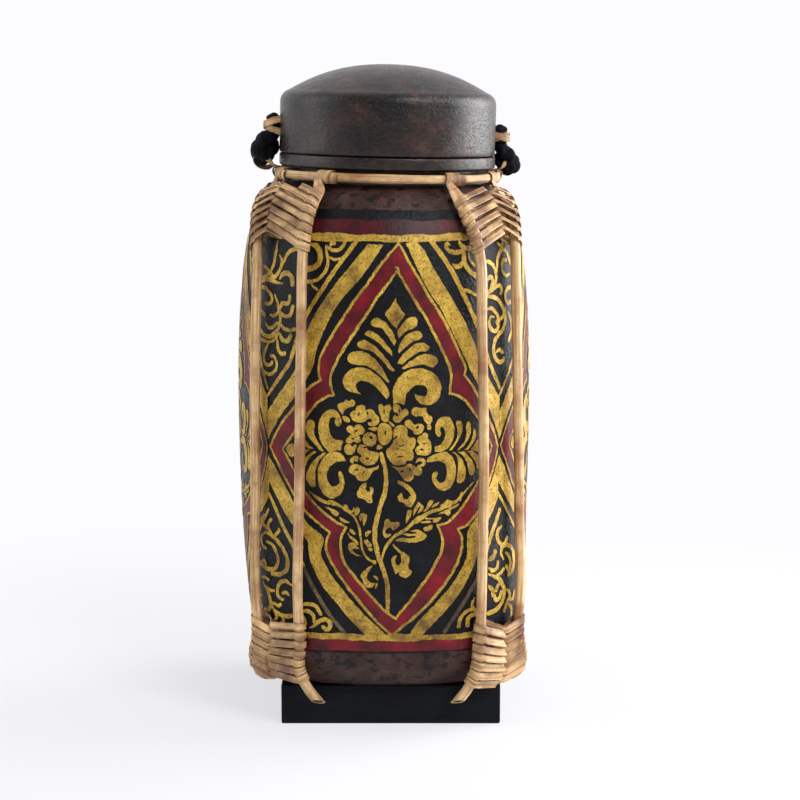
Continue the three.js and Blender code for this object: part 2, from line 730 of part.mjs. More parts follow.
FACES.forEach((face, i) => {
  const next = FACES[(i + 1) % 4];
  const rodA = rods[2 * i + 1].curve;
  const rodB = rods[(2 * i + 2) % 8].curve;
  const name = i % 2 ? `${next.name}_${face.name}` : `${face.name}_${next.name}`;
  const topStart = rodA.getLength() - TOP_LASHING_BELOW - LASHING_TURNS * LASHING_PITCH;
  const bottomStart = lengthAtHeight(rodA, footZ + BOTTOM_LASHING_ABOVE);
  const top = lashing(rodA, rodB, topStart, TOP_LASHING_CLIMB);
  const bottom = lashing(rodA, rodB, bottomStart, BOTTOM_LASHING_CLIMB);
  add(`top_lashing_${name}`, top.geometry, strip);
  add(`bottom_lashing_${name}`, bottom.geometry, strip);
  console.log(`lashings_${name}: least gaps ${top.gap.toFixed(2)} and ${bottom.gap.toFixed(2)} mm`);
});

for (const side of TIE_SIDES) {
  add(`eyelet_${side.name}`, eyelet(side), strip);
  const loop = cordLoop(side);
  add(`cord_loop_${side.name}`, loop.geometry, strip);
  console.log(`cord_loop_${side.name}: least gap between turns ${loop.gap.toFixed(2)} mm`);
  add(`cord_${side.name}`, cord(side), cotton);
}

export default root;
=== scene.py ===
# Lidded rice box dressed for rendering: lacquered basket, painted panels, rattan cage, lid and cords.
# Lengths are in millimetres in the part's frame until they become mesh points, which are in metres.
# The front faces -Y, +X is to the right and +Z is up.
import math
import random

import bmesh
import bpy
import numpy as np
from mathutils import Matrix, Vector, geometry, noise


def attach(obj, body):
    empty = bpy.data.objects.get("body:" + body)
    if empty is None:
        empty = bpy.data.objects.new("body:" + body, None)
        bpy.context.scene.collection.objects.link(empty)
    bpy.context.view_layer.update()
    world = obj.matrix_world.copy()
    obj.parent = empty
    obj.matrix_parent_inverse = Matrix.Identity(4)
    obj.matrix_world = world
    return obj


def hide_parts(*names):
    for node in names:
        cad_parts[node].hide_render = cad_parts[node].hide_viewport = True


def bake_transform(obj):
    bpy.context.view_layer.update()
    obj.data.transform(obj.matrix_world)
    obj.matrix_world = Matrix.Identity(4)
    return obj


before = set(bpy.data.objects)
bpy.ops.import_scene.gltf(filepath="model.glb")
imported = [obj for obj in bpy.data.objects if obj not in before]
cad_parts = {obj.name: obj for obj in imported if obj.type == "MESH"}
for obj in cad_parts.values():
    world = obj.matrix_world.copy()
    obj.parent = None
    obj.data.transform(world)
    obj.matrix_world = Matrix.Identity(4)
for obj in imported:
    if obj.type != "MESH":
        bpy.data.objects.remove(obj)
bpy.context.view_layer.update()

MM = 0.001

# Camera: the photograph's viewing angle, with the place in metres
PICTURE_SIDE = 800
FOCAL_PIXELS = 1995
SENSOR = 36
CAMERA_PLACE = (0.005, -0.9, 0.2797)
CAMERA_PITCH = 81.035

# Basket outline, with the same values as the part
FOOT_HALF = 47
HEEL_HALF = 61.8
BELLY_HALF = 66
SHOULDER_HALF = 60.6
NECK_RADIUS = 44.3
FOOT_Z = 18
HEEL_Z = 40
BELLY_Z = 140
SHOULDER_Z = 215
NECK_Z = 237.5
ROUND_Z = 110
FOOT_POWER = 3
ROUND_POWER = 2
BASKET_WALL = 3
BASKET_FLOOR = 4
PLINTH_SIDE = 97
PLINTH_ASIDE = 0.9
PLINTH_BEVEL = 1.1

# The outline's curves, each with its ends and its two handles, as half widths and heights
OUTLINE_CURVES = [
    ((FOOT_HALF, FOOT_Z), (56.472, 18), (60.616, 27.24), (HEEL_HALF, HEEL_Z)),
    ((HEEL_HALF, HEEL_Z), (64.194, 66), (66, 100), (BELLY_HALF, BELLY_Z)),
    ((BELLY_HALF, BELLY_Z), (66, 172.25), (64.218, 199.25), (SHOULDER_HALF, SHOULDER_Z)),
    ((SHOULDER_HALF, SHOULDER_Z), (57.666, 226.025), (50.005, 234.575), (NECK_RADIUS, NECK_Z)),
]
OUTLINE_STEPS = 60

# Neck, lid and hoop
COLLAR_BORE = 41.3
COLLAR_INTO_NECK = 0.6
COLLAR_ROUNDING = 0.9
LEDGE_RADIUS = 48.2
LEDGE_Z = 243.9
LEDGE_TOP_Z = 249.2
SPIGOT_TOP_Z = 262.2
RIM_Z = 249.5
RIM_BEVEL = 0.8
RIM_CORNER = 0.25
LID_RADIUS = 48.1
LID_WALL = 2.9
LID_SIDE = 22
LID_CORNER = 4.2
LID_CORNER_RISE = 5.7
LID_HEIGHT = 39.5
DOME_HANDLE_IN = 16.8
DOME_HANDLE_DROP = 4.2
DOME_TOP_HANDLE_IN = 29.4
DOME_MIDDLE = 0.4
LID_SEGMENTS = 200
COLLAR_SEGMENTS = 160
HOOP_RADIUS = 48.9
HOOP_Z = 240.4
HOOP_THICKNESS = 3.8
HOOP_STEPS = 180
HOOP_SIDES = 16

# Rods
ROD_THICKNESS = 4.5
ROD_STAND = 4.2
ROD_ANGLE = 33.7
ROD_TOP_DROP = 5.7
ROD_SHARES = [0.11, 0.2, 0.37, 0.56, 0.73, 0.85, 0.9, 0.93, 0.955]
ROD_LEAN_SHARE = 0.68
ROD_END_ASIDE = 29.5
ROD_END_OUT = 5.5
ROD_END_DROP = 7.5
ROD_BEND_ASIDE = 5.3
ROD_BEND_OUT = 2.8
ROD_BEND_RISE = 0.5
ROD_HEEL_ASIDE = 9.3
ROD_HEEL_OUT = 4.9
ROD_HEEL_RISE = 10
NECK_RISE = 219.5

# The faces in turn: name, way that it looks and, for its rods, their angle from its middle at the top
FACES = [("front", -90, 34), ("right", 0, 22), ("back", 90, 34), ("left", 180, 22)]
WIDE_FACES = ("front", "back")

# The real box is hand made: the belly leans to the left over its foot, and the neck tips down to the right
FOOT_LEAN = 0.3
BELLY_LEAN = 2.3
NECK_LEAN = 0.9
LEAN_FULL_Z = 100
NECK_TILT = math.radians(1.25)
TILT_FROM_Z = 205
TILT_FULL_Z = 240

# How finely shapes are made and found
NORMAL_STEP = 0.4
TANGENT_STEP = 0.5
HALVINGS = 30
CURVE_STEPS = 24


def clamp(x, low=0.0, high=1.0):
    return max(low, min(high, x))


def lerp(a, b, t):
    return a + (b - a) * t


def smoothstep(x, low, high):
    t = clamp((x - low) / (high - low))
    return t * t * (3 - 2 * t)


def polar(radius, azimuth, z):
    return Vector((radius * math.cos(azimuth), radius * math.sin(azimuth), z))


def on_face(azimuth, aside, out, z):
    """A point out from the axis toward an azimuth in degrees, and aside from there."""
    c = math.cos(math.radians(azimuth))
    s = math.sin(math.radians(azimuth))
    return Vector((out * c - aside * s, out * s + aside * c, z))


def weighted(weights, points):
    return tuple(sum(w * p for w, p in zip(weights, values)) for values in zip(*points))


def bezier(p0, p1, p2, p3, steps):
    points = []
    for i in range(steps + 1):
        t = i / steps
        s = 1 - t
        points.append(weighted((s**3, 3 * s * s * t, 3 * s * t * t, t**3), (p0, p1, p2, p3)))
    return points


def bend_between(start, corner, end, steps):
    """Points of the curve that leaves start toward corner and comes to end from it."""
    points = []
    for i in range(steps + 1):
        t = i / steps
        points.append(weighted(((1 - t) ** 2, 2 * t * (1 - t), t * t), (start, corner, end)))
    return points


def find_crossing(low, high, is_below):
    """The value between low and high where is_below stops to hold."""
    for _ in range(HALVINGS):
        middle = (low + high) / 2
        if is_below(middle):
            low = middle
        else:
            high = middle
    return low


OUTLINE = [OUTLINE_CURVES[0][0]]
for outline_curve in OUTLINE_CURVES:
    OUTLINE += bezier(*outline_curve, OUTLINE_STEPS)[1:]
OUTLINE_R = np.array([p[0] for p in OUTLINE])
OUTLINE_Z = np.array([p[1] for p in OUTLINE])


def half_width(z):
    return float(np.interp(z, OUTLINE_Z, OUTLINE_R))


def corner_factor(azimuth, z):
    """How much farther out than its half width the rounded square stands at an azimuth."""
    n = lerp(FOOT_POWER, ROUND_POWER, smoothstep(z, HEEL_Z, ROUND_Z))
    return (abs(math.cos(azimuth)) ** n + abs(math.sin(azimuth)) ** n) ** (-1 / n)


def basket_point(azimuth, z):
    return polar(half_width(z) * corner_factor(azimuth, z), azimuth, z)


def basket_normal(azimuth, z):
    turn = NORMAL_STEP / BELLY_HALF
    across = basket_point(azimuth + turn, z) - basket_point(azimuth - turn, z)
    low = max(z - NORMAL_STEP, FOOT_Z)
    high = min(z + NORMAL_STEP, NECK_Z)
    up = basket_point(azimuth, high) - basket_point(azimuth, low)
    return across.cross(up).normalized()


def off_basket(azimuth, z, distance):
    return basket_point(azimuth, z) + basket_normal(azimuth, z) * distance


def body_lean(z):
    return lerp(FOOT_LEAN, BELLY_LEAN, smoothstep(z, FOOT_Z, LEAN_FULL_Z))


def warp(p):
    """Where a point of the upright box stands on the leaning one."""
    x, y, z = p
    above = smoothstep(z, TILT_FROM_Z, TILT_FULL_Z)
    shift = lerp(body_lean(z), NECK_LEAN, above)
    tilt = NECK_TILT * above
    return Vector((x - shift + (z - HOOP_Z) * math.sin(tilt), y, z - x * math.sin(tilt)))


# Mesh helpers


def link(name, data):
    made = bpy.data.objects.new(name, data)
    bpy.context.scene.collection.objects.link(made)
    return made


def dress(name, mesh, body, material):
    """A smooth object of the mesh, which rides on its body and has its slot."""
    mesh.polygons.foreach_set("use_smooth", [True] * len(mesh.polygons))
    mesh.materials.append(material)
    mesh.update()
    made = link(name, mesh)
    if body:
        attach(made, body)
    return made


class Builder:
    """Collects points and faces of one object, with a UV for each point, in millimetres."""

    def __init__(self):
        self.verts = []
        self.faces = []
        self.uvs = []

    def add_row(self, row):
        """Adds points with their UVs, and gives the number of the first."""
        first = len(self.verts)
        for at, uv in row:
            self.verts.append(at)
            self.uvs.append(uv)
        return first

    def join(self, first, next_first, count):
        for k in range(count - 1):
            self.faces.append((first + k, first + k + 1, next_first + k + 1, next_first + k))

    def grid(self, rows):
        """Faces between rows of points, and the numbers of the rows' first points."""
        firsts = [self.add_row(row) for row in rows]
        for first, next_first in zip(firsts, firsts[1:]):
            self.join(first, next_first, len(rows[0]))
        return firsts

    def fan(self, first, count, middle, uv, flip):
        """Closes a row of points with faces to its middle."""
        at = self.add_row([(middle, uv)])
        for k in range(first, first + count - 1):
            self.faces.append((at, k + 1, k) if flip else (at, k, k + 1))

    def make(self, name, body, material):
        mesh = bpy.data.meshes.new(name)
        mesh.from_pydata([tuple(warp(v) * MM) for v in self.verts], [], self.faces)
        layer = mesh.uv_layers.new(name="UVMap")
        for loop in mesh.loops:
            layer.data[loop.index].uv = self.uvs[loop.vertex_index]
        return dress(name, mesh, body, material)


TURNED_UV_RADIUS = 50


def lathe(builder, profile, segments, wobble):
    """Profile points (radius, z) turned round the Z axis, with a seam column for the UV."""
    rows = []
    along = 0.0
    before = profile[0]
    for radius, z in profile:
        along += math.dist(before, (radius, z))
        before = (radius, z)
        row = []
        for k in range(segments + 1):
            turn = 2 * math.pi * k / segments
            r, height = wobble(radius, z, turn)
            row.append((polar(r, turn, height), (turn * TURNED_UV_RADIUS, along)))
        rows.append(row)
    builder.grid(rows)


def section(width, thickness, power, sides):
    """Corners of a cross section that is round at power 2 and squarer above it."""
    points = []
    for k in range(sides):
        turn = 2 * math.pi * (k + 0.5) / sides
        c = math.cos(turn)
        s = math.sin(turn)
        x = math.copysign(abs(c) ** (2 / power), c) * width / 2
        y = math.copysign(abs(s) ** (2 / power), s) * thickness / 2
        points.append((x, y))
    return points


class Station:
    """A place on a bar or strip, with the way across it and the size of its section there."""

    def __init__(self, at, across, width, thickness, power=2.0):
        self.at = at
        self.across = across
        self.width = width
        self.thickness = thickness
        self.power = power


def middle_of(row):
    """The middle of a row's points, whose last is its first again."""
    return sum((at for at, _ in row[:-1]), Vector()) / (len(row) - 1)


def sweep(builder, stations, sides, seed=0.0, cut=None):
    """A bar or strip through stations, whose first end is oblique and hollow where there is a cut.

    The UV runs along it in millimetres, and from 0 to 2 round it in v.
    """
    rows = []
    length = 0.0
    for i, station in enumerate(stations):
        before = stations[max(i - 1, 0)].at
        after = stations[min(i + 1, len(stations) - 1)].at
        along = (after - before).normalized()
        wide = (station.across - along * station.across.dot(along)).normalized()
        thick = along.cross(wide)
        length += (station.at - before).length
        corners = section(station.width, station.thickness, station.power, sides)
        row = []
        for k, (x, y) in enumerate(corners + corners[:1]):
            row.append((station.at + wide * x + thick * y, (length + seed, (2 * k + 1) / sides)))
        rows.append(row)
    if cut is not None:
        middle = middle_of(rows[0])
        along = (stations[1].at - stations[0].at).normalized()
        rows[0] = [(at + along * (at - middle).dot(cut), uv) for at, uv in rows[0]]
    firsts = builder.grid(rows)
    if cut is None:
        builder.fan(firsts[0], sides + 1, middle_of(rows[0]), rows[0][0][1], True)
    else:
        bored_end(builder, rows[0], rows[1], firsts[0])
    builder.fan(firsts[-1], sides + 1, middle_of(rows[-1]), rows[-1][0][1], False)


# The hollow of a cut cane: rings inward from the rim, with their share of its size and their depth
BORE = 0.62
BORE_RINGS = [(BORE + 0.12, 0.0), (BORE, 0.35), (BORE * 0.82, 2.2), (BORE * 0.3, 3.4)]

# A U far outside any cane's length marks the hollow, where the material paints shade
HOLLOW_U = -1000


def bored_end(builder, row, next_row, first):
    """The free end of a cane, which is hollow."""
    middle = middle_of(row)
    inward = (middle_of(next_row) - middle).normalized()
    previous = first
    for share, depth in BORE_RINGS:
        ring = [(middle + (at - middle) * share + inward * depth, (HOLLOW_U if depth else uv[0], uv[1]))
                for at, uv in row]
        start = builder.add_row(ring)
        builder.join(previous, start, len(row))
        previous = start
    builder.fan(previous, len(row), middle_of(ring), row[0][1], True)


def neighbours(points, i):
    """Points i and i + 1 with the ones before and after them, which are made up past the ends."""
    p1 = points[i]
    p2 = points[i + 1]
    p0 = points[i - 1] if i else p1 * 2 - p2
    p3 = points[i + 2] if i + 2 < len(points) else p2 * 2 - p1
    return p0, p1, p2, p3


def segment(p0, p1, p2, p3, steps):
    """A piece of a centripetal Catmull-Rom curve from p1 up to p2, without p2."""
    t01 = max((p1 - p0).length, 1e-4) ** 0.5
    t12 = max((p2 - p1).length, 1e-4) ** 0.5
    t23 = max((p3 - p2).length, 1e-4) ** 0.5
    m1 = p2 - p1 + ((p1 - p0) / t01 - (p2 - p0) / (t01 + t12)) * t12
    m2 = p2 - p1 + ((p3 - p2) / t23 - (p3 - p1) / (t12 + t23)) * t12
    made = []
    for i in range(steps):
        t = i / steps
        a = 2 * t**3 - 3 * t**2 + 1
        b = t**3 - 2 * t**2 + t
        c = -2 * t**3 + 3 * t**2
        d = t**3 - t**2
        made.append(p1 * a + m1 * b + p2 * c + m2 * d)
    return made


class Curve:
    """A smooth curve through points, found by the length along it."""

    def __init__(self, points, steps=CURVE_STEPS):
        made = []
        for i in range(len(points) - 1):
            made += segment(*neighbours(points, i), steps)
        made.append(points[-1])
        self.lengths = [0.0]
        for before, after in zip(made, made[1:]):
            self.lengths.append(self.lengths[-1] + (after - before).length)
        self.length = self.lengths[-1]
        self.array = np.array([tuple(p) for p in made])

    def at(self, length):
        length = clamp(length, 0.0, self.length)
        return Vector([float(np.interp(length, self.lengths, self.array[:, k])) for k in range(3)])

    def tangent(self, length):
        return (self.at(length + TANGENT_STEP) - self.at(length - TANGENT_STEP)).normalized()

    def length_at_height(self, z):
        return find_crossing(0.0, self.length, lambda length: self.at(length).z < z)


# Materials


def srgb(r, g, b):
    def linear(c):
        c = c / 255
        return c / 12.92 if c <= 0.04045 else ((c + 0.055) / 1.055) ** 2.4

    return (linear(r), linear(g), linear(b), 1)


# Darker cut edges of the cane strips, which also stand for painted shade in the gaps between strips
CANE_EDGE_AND_GAP_SHADE = srgb(74, 42, 22)
# Painted shade inside the hollow of a cut cane end
CANE_HOLLOW_SHADE = srgb(34, 20, 14)
GRIME = srgb(16, 13, 17)
WEAVE_SCALE = 640.0


class Nodes:
    """A node tree with short calls for its nodes."""

    def __init__(self, tree):
        self.tree = tree
        tree.nodes.clear()

    def node(self, kind, values=None, **settings):
        made = self.tree.nodes.new(kind)
        for key, value in settings.items():
            setattr(made, key, value)
        for key, value in (values or {}).items():
            self.put(made, key, value)
        return made

    def put(self, made, key, value):
        if isinstance(value, bpy.types.NodeSocket):
            self.tree.links.new(value, made.inputs[key])
        else:
            made.inputs[key].default_value = value

    def math(self, operation, *values):
        return self.node("ShaderNodeMath", dict(enumerate(values)), operation=operation).outputs[0]

    def part(self, vector, axis):
        return self.node("ShaderNodeSeparateXYZ", {0: vector}).outputs[axis]


class Paint(Nodes):
    """A material with one shader, and short calls for its textures."""

    def __init__(self, name):
        self.material = bpy.data.materials.new(name)
        self.material.use_nodes = True
        super().__init__(self.material.node_tree)
        self.output = self.node("ShaderNodeOutputMaterial")
        self.shader = self.node("ShaderNodeBsdfPrincipled")
        self.put(self.output, 0, self.shader.outputs[0])
        coordinates = self.node("ShaderNodeTexCoord")
        self.place = coordinates.outputs["Object"]
        self.uv = coordinates.outputs["UV"]

    def set(self, **values):
        for key, value in values.items():
            self.put(self.shader, key.replace("_", " "), value)

    def stretched(self, vector, scale):
        return self.node("ShaderNodeMapping", {"Vector": vector, "Scale": scale}).outputs[0]

    def noise(self, vector, scale, detail, roughness, distortion=0.0):
        values = {"Vector": vector, "Scale": scale, "Detail": detail}
        values.update({"Roughness": roughness, "Distortion": distortion})
        return self.node("ShaderNodeTexNoise", values).outputs["Fac"]

    def ramp(self, factor, stops):
        """Colours or plain values at places from 0 to 1."""
        made = self.node("ShaderNodeValToRGB", {"Fac": factor})
        elements = made.color_ramp.elements
        while len(elements) < len(stops):
            elements.new(0.5)
        for element, (place, colour) in zip(elements, stops):
            element.position = place
            element.color = colour if isinstance(colour, tuple) else (colour, colour, colour, 1)
        return made.outputs["Color"]

    def mix(self, factor, a, b):
        return self.node("ShaderNodeMix", {0: factor, 6: a, 7: b}, data_type="RGBA").outputs[2]

    def stain(self, tone, mask, stops, colour):
        """The tone with a colour over it, as strong as the mask's ramp says."""
        return self.mix(self.ramp(mask, stops), tone, colour)

    def bump(self, height, distance, strength, normal=None):
        values = {"Height": height, "Distance": distance, "Strength": strength}
        if normal is not None:
            values["Normal"] = normal
        return self.node("ShaderNodeBump", values).outputs[0]

    def weave(self, distance, strength, normal):
        """The basket's weave, felt through its lacquer and paint."""
        return self.bump(self.noise(self.place, WEAVE_SCALE, 5.0, 0.6), distance, strength, normal)


def rattan(name, light, dark, shade, roughness, around, edge_dark_and_gap_shade):
    """Cane: fine fibres along its length, patches of older colour, dull varnish, darker cut edges that also
    paint shade between strips, and painted shade in cut hollows.
    """
    paint = Paint(name)
    fibres = paint.noise(paint.stretched(paint.uv, (0.07, 2.6 * around, 1)), 1.0, 6.0, 0.65)
    streaks = paint.noise(paint.stretched(paint.uv, (0.025, 0.9 * around, 1)), 1.0, 3.0, 0.5)
    patches = paint.noise(paint.place, 60.0, 5.0, 0.6)
    specks = paint.noise(paint.place, 1000.0, 3.0, 0.65)
    tone = paint.ramp(fibres, [(0.32, dark), (0.5, light), (0.75, light)])
    tone = paint.stain(tone, streaks, [(0.42, 0.0), (0.66, 0.7)], shade)
    tone = paint.stain(tone, patches, [(0.44, 0.0), (0.64, 0.85)], shade)
    tone = paint.stain(tone, specks, [(0.6, 0.0), (0.7, 0.5)], shade)
    from_edge = paint.math("PINGPONG", paint.part(paint.uv, 1), 0.5)
    # Darker side edges of each strip: partly the cane's own cut edges, partly painted shade between
    # neighbouring strips
    tone = paint.stain(tone, from_edge, [(0.04, edge_dark_and_gap_shade), (0.2, 0.0)], CANE_EDGE_AND_GAP_SHADE)
    # Painted shade in the hollow of a cut end, found by its U
    hollow = paint.math("LESS_THAN", paint.part(paint.uv, 0), HOLLOW_U / 2)
    tone = paint.mix(hollow, tone, CANE_HOLLOW_SHADE)
    rough = paint.ramp(fibres, [(0.2, roughness + 0.14), (0.8, roughness - 0.06)])
    paint.set(Base_Color=tone, Roughness=rough, Specular_IOR_Level=0.45)
    paint.set(Normal=paint.bump(fibres, 0.00018, 0.8))
    return paint.material


def lacquer_material():
    """Old lacquer on turned wood: near-black and red-brown patches, fine grain and cracks along its rings."""
    paint = Paint("brown_lacquer_aged")
    place = paint.place
    mottle = paint.noise(place, 75.0, 8.0, 0.68, 0.4)
    fine = paint.noise(place, 460.0, 6.0, 0.68)
    grain = paint.noise(paint.stretched(place, (1, 1, 3.2)), 230.0, 6.0, 0.7, 0.5)
    astray = paint.node("ShaderNodeTexNoise", {"Vector": place, "Scale": 90.0}).outputs["Color"]
    crack_place = paint.stretched(paint.mix(0.12, place, astray), (0.8, 0.8, 1.9))
    crack_values = {"Vector": crack_place, "Scale": 62.0}
    cracks = paint.node("ShaderNodeTexVoronoi", crack_values, feature="DISTANCE_TO_EDGE").outputs["Distance"]
    patches = paint.noise(place, 24.0, 3.0, 0.5)
    thin = paint.ramp(cracks, [(0.0, 1.0), (0.022, 0.0)])
    cracked = paint.math("MULTIPLY", thin, paint.ramp(patches, [(0.45, 0.0), (0.6, 1.0)]))
    tone = paint.ramp(
        mottle,
        [(0.34, srgb(6, 5, 8)), (0.46, srgb(24, 15, 13)), (0.57, srgb(46, 27, 21)), (0.72, srgb(82, 52, 40))],
    )
    tone = paint.stain(tone, fine, [(0.5, 0.0), (0.68, 0.8)], GRIME)
    tone = paint.stain(tone, grain, [(0.6, 0.0), (0.76, 0.35)], srgb(98, 62, 46))
    tone = paint.mix(cracked, tone, srgb(10, 8, 10))
    paint.set(Base_Color=tone, Roughness=paint.ramp(grain, [(0.3, 0.24), (0.7, 0.42)]))
    paint.set(Specular_IOR_Level=0.42)
    bump = paint.bump(fine, 0.0003, 0.55)
    bump = paint.bump(grain, 0.0005, 0.5, bump)
    paint.set(Normal=paint.bump(paint.math("SUBTRACT", 1.0, cracked), 0.0004, 0.6, bump))
    return paint.material


def plinth_material():
    """Black paint with the fine lines of a brush."""
    paint = Paint("black_plinth_brushed")
    brush = paint.noise(paint.stretched(paint.place, (0.12, 0.12, 1.6)), 900.0, 6.0, 0.6)
    cloud = paint.noise(paint.place, 60.0, 5.0, 0.6)
    tone = paint.ramp(brush, [(0.3, srgb(5, 7, 12)), (0.62, srgb(10, 13, 23)), (0.85, srgb(20, 25, 38))])
    tone = paint.stain(tone, cloud, [(0.4, 0.0), (0.7, 0.5)], srgb(11, 12, 17))
    paint.set(Base_Color=tone, Roughness=paint.ramp(brush, [(0.2, 0.8), (0.8, 0.62)]))
    paint.set(Specular_IOR_Level=0.2)
    paint.set(Normal=paint.bump(brush, 0.00018, 0.5))
    return paint.material


def cord_material():
    """Black cotton with a little pale fuzz."""
    paint = Paint("black_cord_cotton")
    fuzz = paint.noise(paint.place, 2500.0, 4.0, 0.7)
    strands = paint.noise(paint.stretched(paint.uv, (0.8, 3.0, 1)), 1.0, 4.0, 0.6)
    tone = paint.ramp(strands, [(0.3, srgb(4, 4, 8)), (0.7, srgb(15, 16, 24))])
    tone = paint.stain(tone, fuzz, [(0.6, 0.0), (0.8, 0.35)], srgb(52, 56, 70))
    paint.set(Base_Color=tone, Roughness=0.85, Specular_IOR_Level=0.2)
    paint.set(Normal=paint.bump(fuzz, 0.0002, 0.6))
    return paint.material


# Heights of the bands of colour
GOLD_LINE_LOW = (41.8, 44.8)
GOLD_LINE_HIGH = (214.6, 217.6)
RED_BAND_LOW = (37.0, 42.4)
RED_BAND_HIGH = (216.8, 223.6)
GROUND_LOW = 36
GROUND_HIGH = 227.6
GROUND_WAVE = 3.0


def basket_material():
    """Brown lacquer on the foot and the shoulder, and a black ground between them."""
    paint = Paint("painted_lacquer_ground")
    place = paint.place
    mottle = paint.noise(place, 60.0, 7.0, 0.65, 0.3)
    fine = paint.noise(place, 520.0, 5.0, 0.65)
    blots = paint.noise(paint.stretched(place, (1, 1, 1.5)), 210.0, 4.0, 0.6)
    edge = paint.math("MULTIPLY_ADD", paint.noise(place, 55.0, 3.0, 0.5), GROUND_WAVE, -GROUND_WAVE / 2)
    height = paint.math("ADD", paint.part(paint.uv, 1), edge)
    black = paint.ramp(mottle, [(0.3, srgb(4, 5, 8)), (0.55, srgb(9, 10, 16)), (0.8, srgb(26, 30, 44))])
    brown = paint.ramp(mottle, [(0.3, srgb(40, 26, 23)), (0.5, srgb(66, 44, 38)), (0.7, srgb(86, 64, 60))])
    brown = paint.stain(brown, blots, [(0.53, 0.0), (0.6, 0.9)], srgb(22, 18, 22))
    low = paint.math("GREATER_THAN", height, GROUND_LOW)
    high = paint.math("LESS_THAN", height, GROUND_HIGH)
    tone = paint.mix(paint.math("MULTIPLY", low, high), brown, black)
    tone = paint.stain(tone, fine, [(0.54, 0.0), (0.74, 0.6)], GRIME)
    paint.set(Base_Color=tone, Roughness=paint.ramp(fine, [(0.3, 0.28), (0.75, 0.45)]))
    paint.set(Specular_IOR_Level=0.2)
    paint.set(Normal=paint.weave(0.001, 0.65, paint.bump(fine, 0.0003, 0.6)))
    return paint.material


def gold_material(name, bright, middle, dark, speckle):
    """Gold paint gone dull: small dark specks where the ground shows through."""
    paint = Paint(name)
    cloud = paint.noise(paint.place, 90.0, 5.0, 0.6)
    specks = paint.noise(paint.place, 1300.0, 3.0, 0.7)
    grains = paint.noise(paint.place, 600.0, 4.0, 0.7)
    tone = paint.ramp(cloud, [(0.32, dark), (0.48, middle), (0.68, bright)])
    tone = paint.stain(tone, grains, [(0.36, 0.55), (0.5, 0.0)], dark)
    tone = paint.stain(tone, specks, [(speckle, 0.0), (speckle + 0.12, 0.85)], srgb(44, 34, 26))
    paint.set(Base_Color=tone, Roughness=paint.ramp(grains, [(0.3, 0.6), (0.7, 0.4)]))
    paint.set(Metallic=0.15, Specular_IOR_Level=0.5)
    paint.set(Normal=paint.weave(0.0006, 0.45, paint.bump(grains, 0.0002, 0.6)))
    return paint.material


def red_material(name, dark, middle, bright):
    """Deep red paint with darker wear."""
    paint = Paint(name)
    cloud = paint.noise(paint.place, 80.0, 5.0, 0.6)
    fine = paint.noise(paint.place, 900.0, 4.0, 0.7)
    tone = paint.ramp(cloud, [(0.3, dark), (0.5, middle), (0.7, bright)])
    tone = paint.stain(tone, fine, [(0.56, 0.0), (0.72, 0.6)], srgb(46, 12, 20))
    paint.set(Base_Color=tone, Roughness=0.42, Specular_IOR_Level=0.28)
    paint.set(Normal=paint.weave(0.0006, 0.45, paint.bump(fine, 0.00015, 0.4)))
    return paint.material


RATTAN_ROD = rattan(
    "rattan_rod_cane", srgb(232, 197, 146), srgb(188, 141, 92), srgb(146, 96, 56), 0.44, 7.0, 0.0
)
RATTAN_STRIP = rattan(
    "rattan_strip_cane", srgb(234, 192, 137), srgb(160, 110, 64), srgb(98, 56, 28), 0.46, 3.5, 1.0
)
LACQUER = lacquer_material()
PLINTH_PAINT = plinth_material()
CORD_COTTON = cord_material()
BASKET_PAINT = basket_material()
GOLD_PAINT = gold_material("gold_paint", srgb(224, 184, 70), srgb(186, 147, 42), srgb(112, 80, 26), 0.53)
WORN_PAINT = gold_material("worn_gold_paint", srgb(128, 104, 62), srgb(94, 74, 48), srgb(52, 42, 34), 0.5)
RED_PAINT = red_material("red_paint", srgb(46, 9, 16), srgb(98, 10, 22), srgb(138, 12, 27))
# A darker copy of the red for the upper ring: partly its own dark streaks, partly painted shade on the
# upturned shoulder
SHADED_RED_PAINT = red_material("shaded_red_paint", srgb(26, 12, 17), srgb(62, 14, 22), srgb(92, 16, 28))


# Basket, collar, lid, hoop and plinth

BASKET_SEGMENTS = 300
BASKET_ROWS = 190
INSIDE_ROWS = 40
INSIDE_UV_V = 300
FLOOR_CORNER = 2
MIDDLE_RADIUS = 0.5


def basket_row(radius_at, z, v):
    """A row round the basket, with a seam column at the back of the left side."""
    row = []
    for k in range(BASKET_SEGMENTS + 1):
        azimuth = -math.pi + 2 * math.pi * k / BASKET_SEGMENTS
        row.append((polar(radius_at(azimuth), azimuth, z), (azimuth * BELLY_HALF, v)))
    return row


def basket_object():
    rows = [basket_row(lambda azimuth: MIDDLE_RADIUS, FOOT_Z, 0)]
    for i in range(BASKET_ROWS + 1):
        z = FOOT_Z + (NECK_Z - FOOT_Z) * i / BASKET_ROWS
        rows.append(basket_row(lambda azimuth: half_width(z) * corner_factor(azimuth, z), z, z))
    inside = [(COLLAR_BORE, NECK_Z)]
    for z in np.linspace(NECK_Z, FOOT_Z + BASKET_FLOOR + 1, INSIDE_ROWS)[1:]:
        inside.append((max(half_width(z) - BASKET_WALL, 0), float(z)))
    floor_z = FOOT_Z + BASKET_FLOOR
    inside += [(half_width(floor_z) - BASKET_WALL - FLOOR_CORNER, floor_z), (MIDDLE_RADIUS, floor_z)]
    for half, z in inside:
        rows.append(basket_row(lambda azimuth: half * corner_factor(azimuth, z), z, INSIDE_UV_V + z))
    wall = Builder()
    wall.grid(rows)
    made = wall.make("basket_wall", "box", BASKET_PAINT)
    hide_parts("basket")


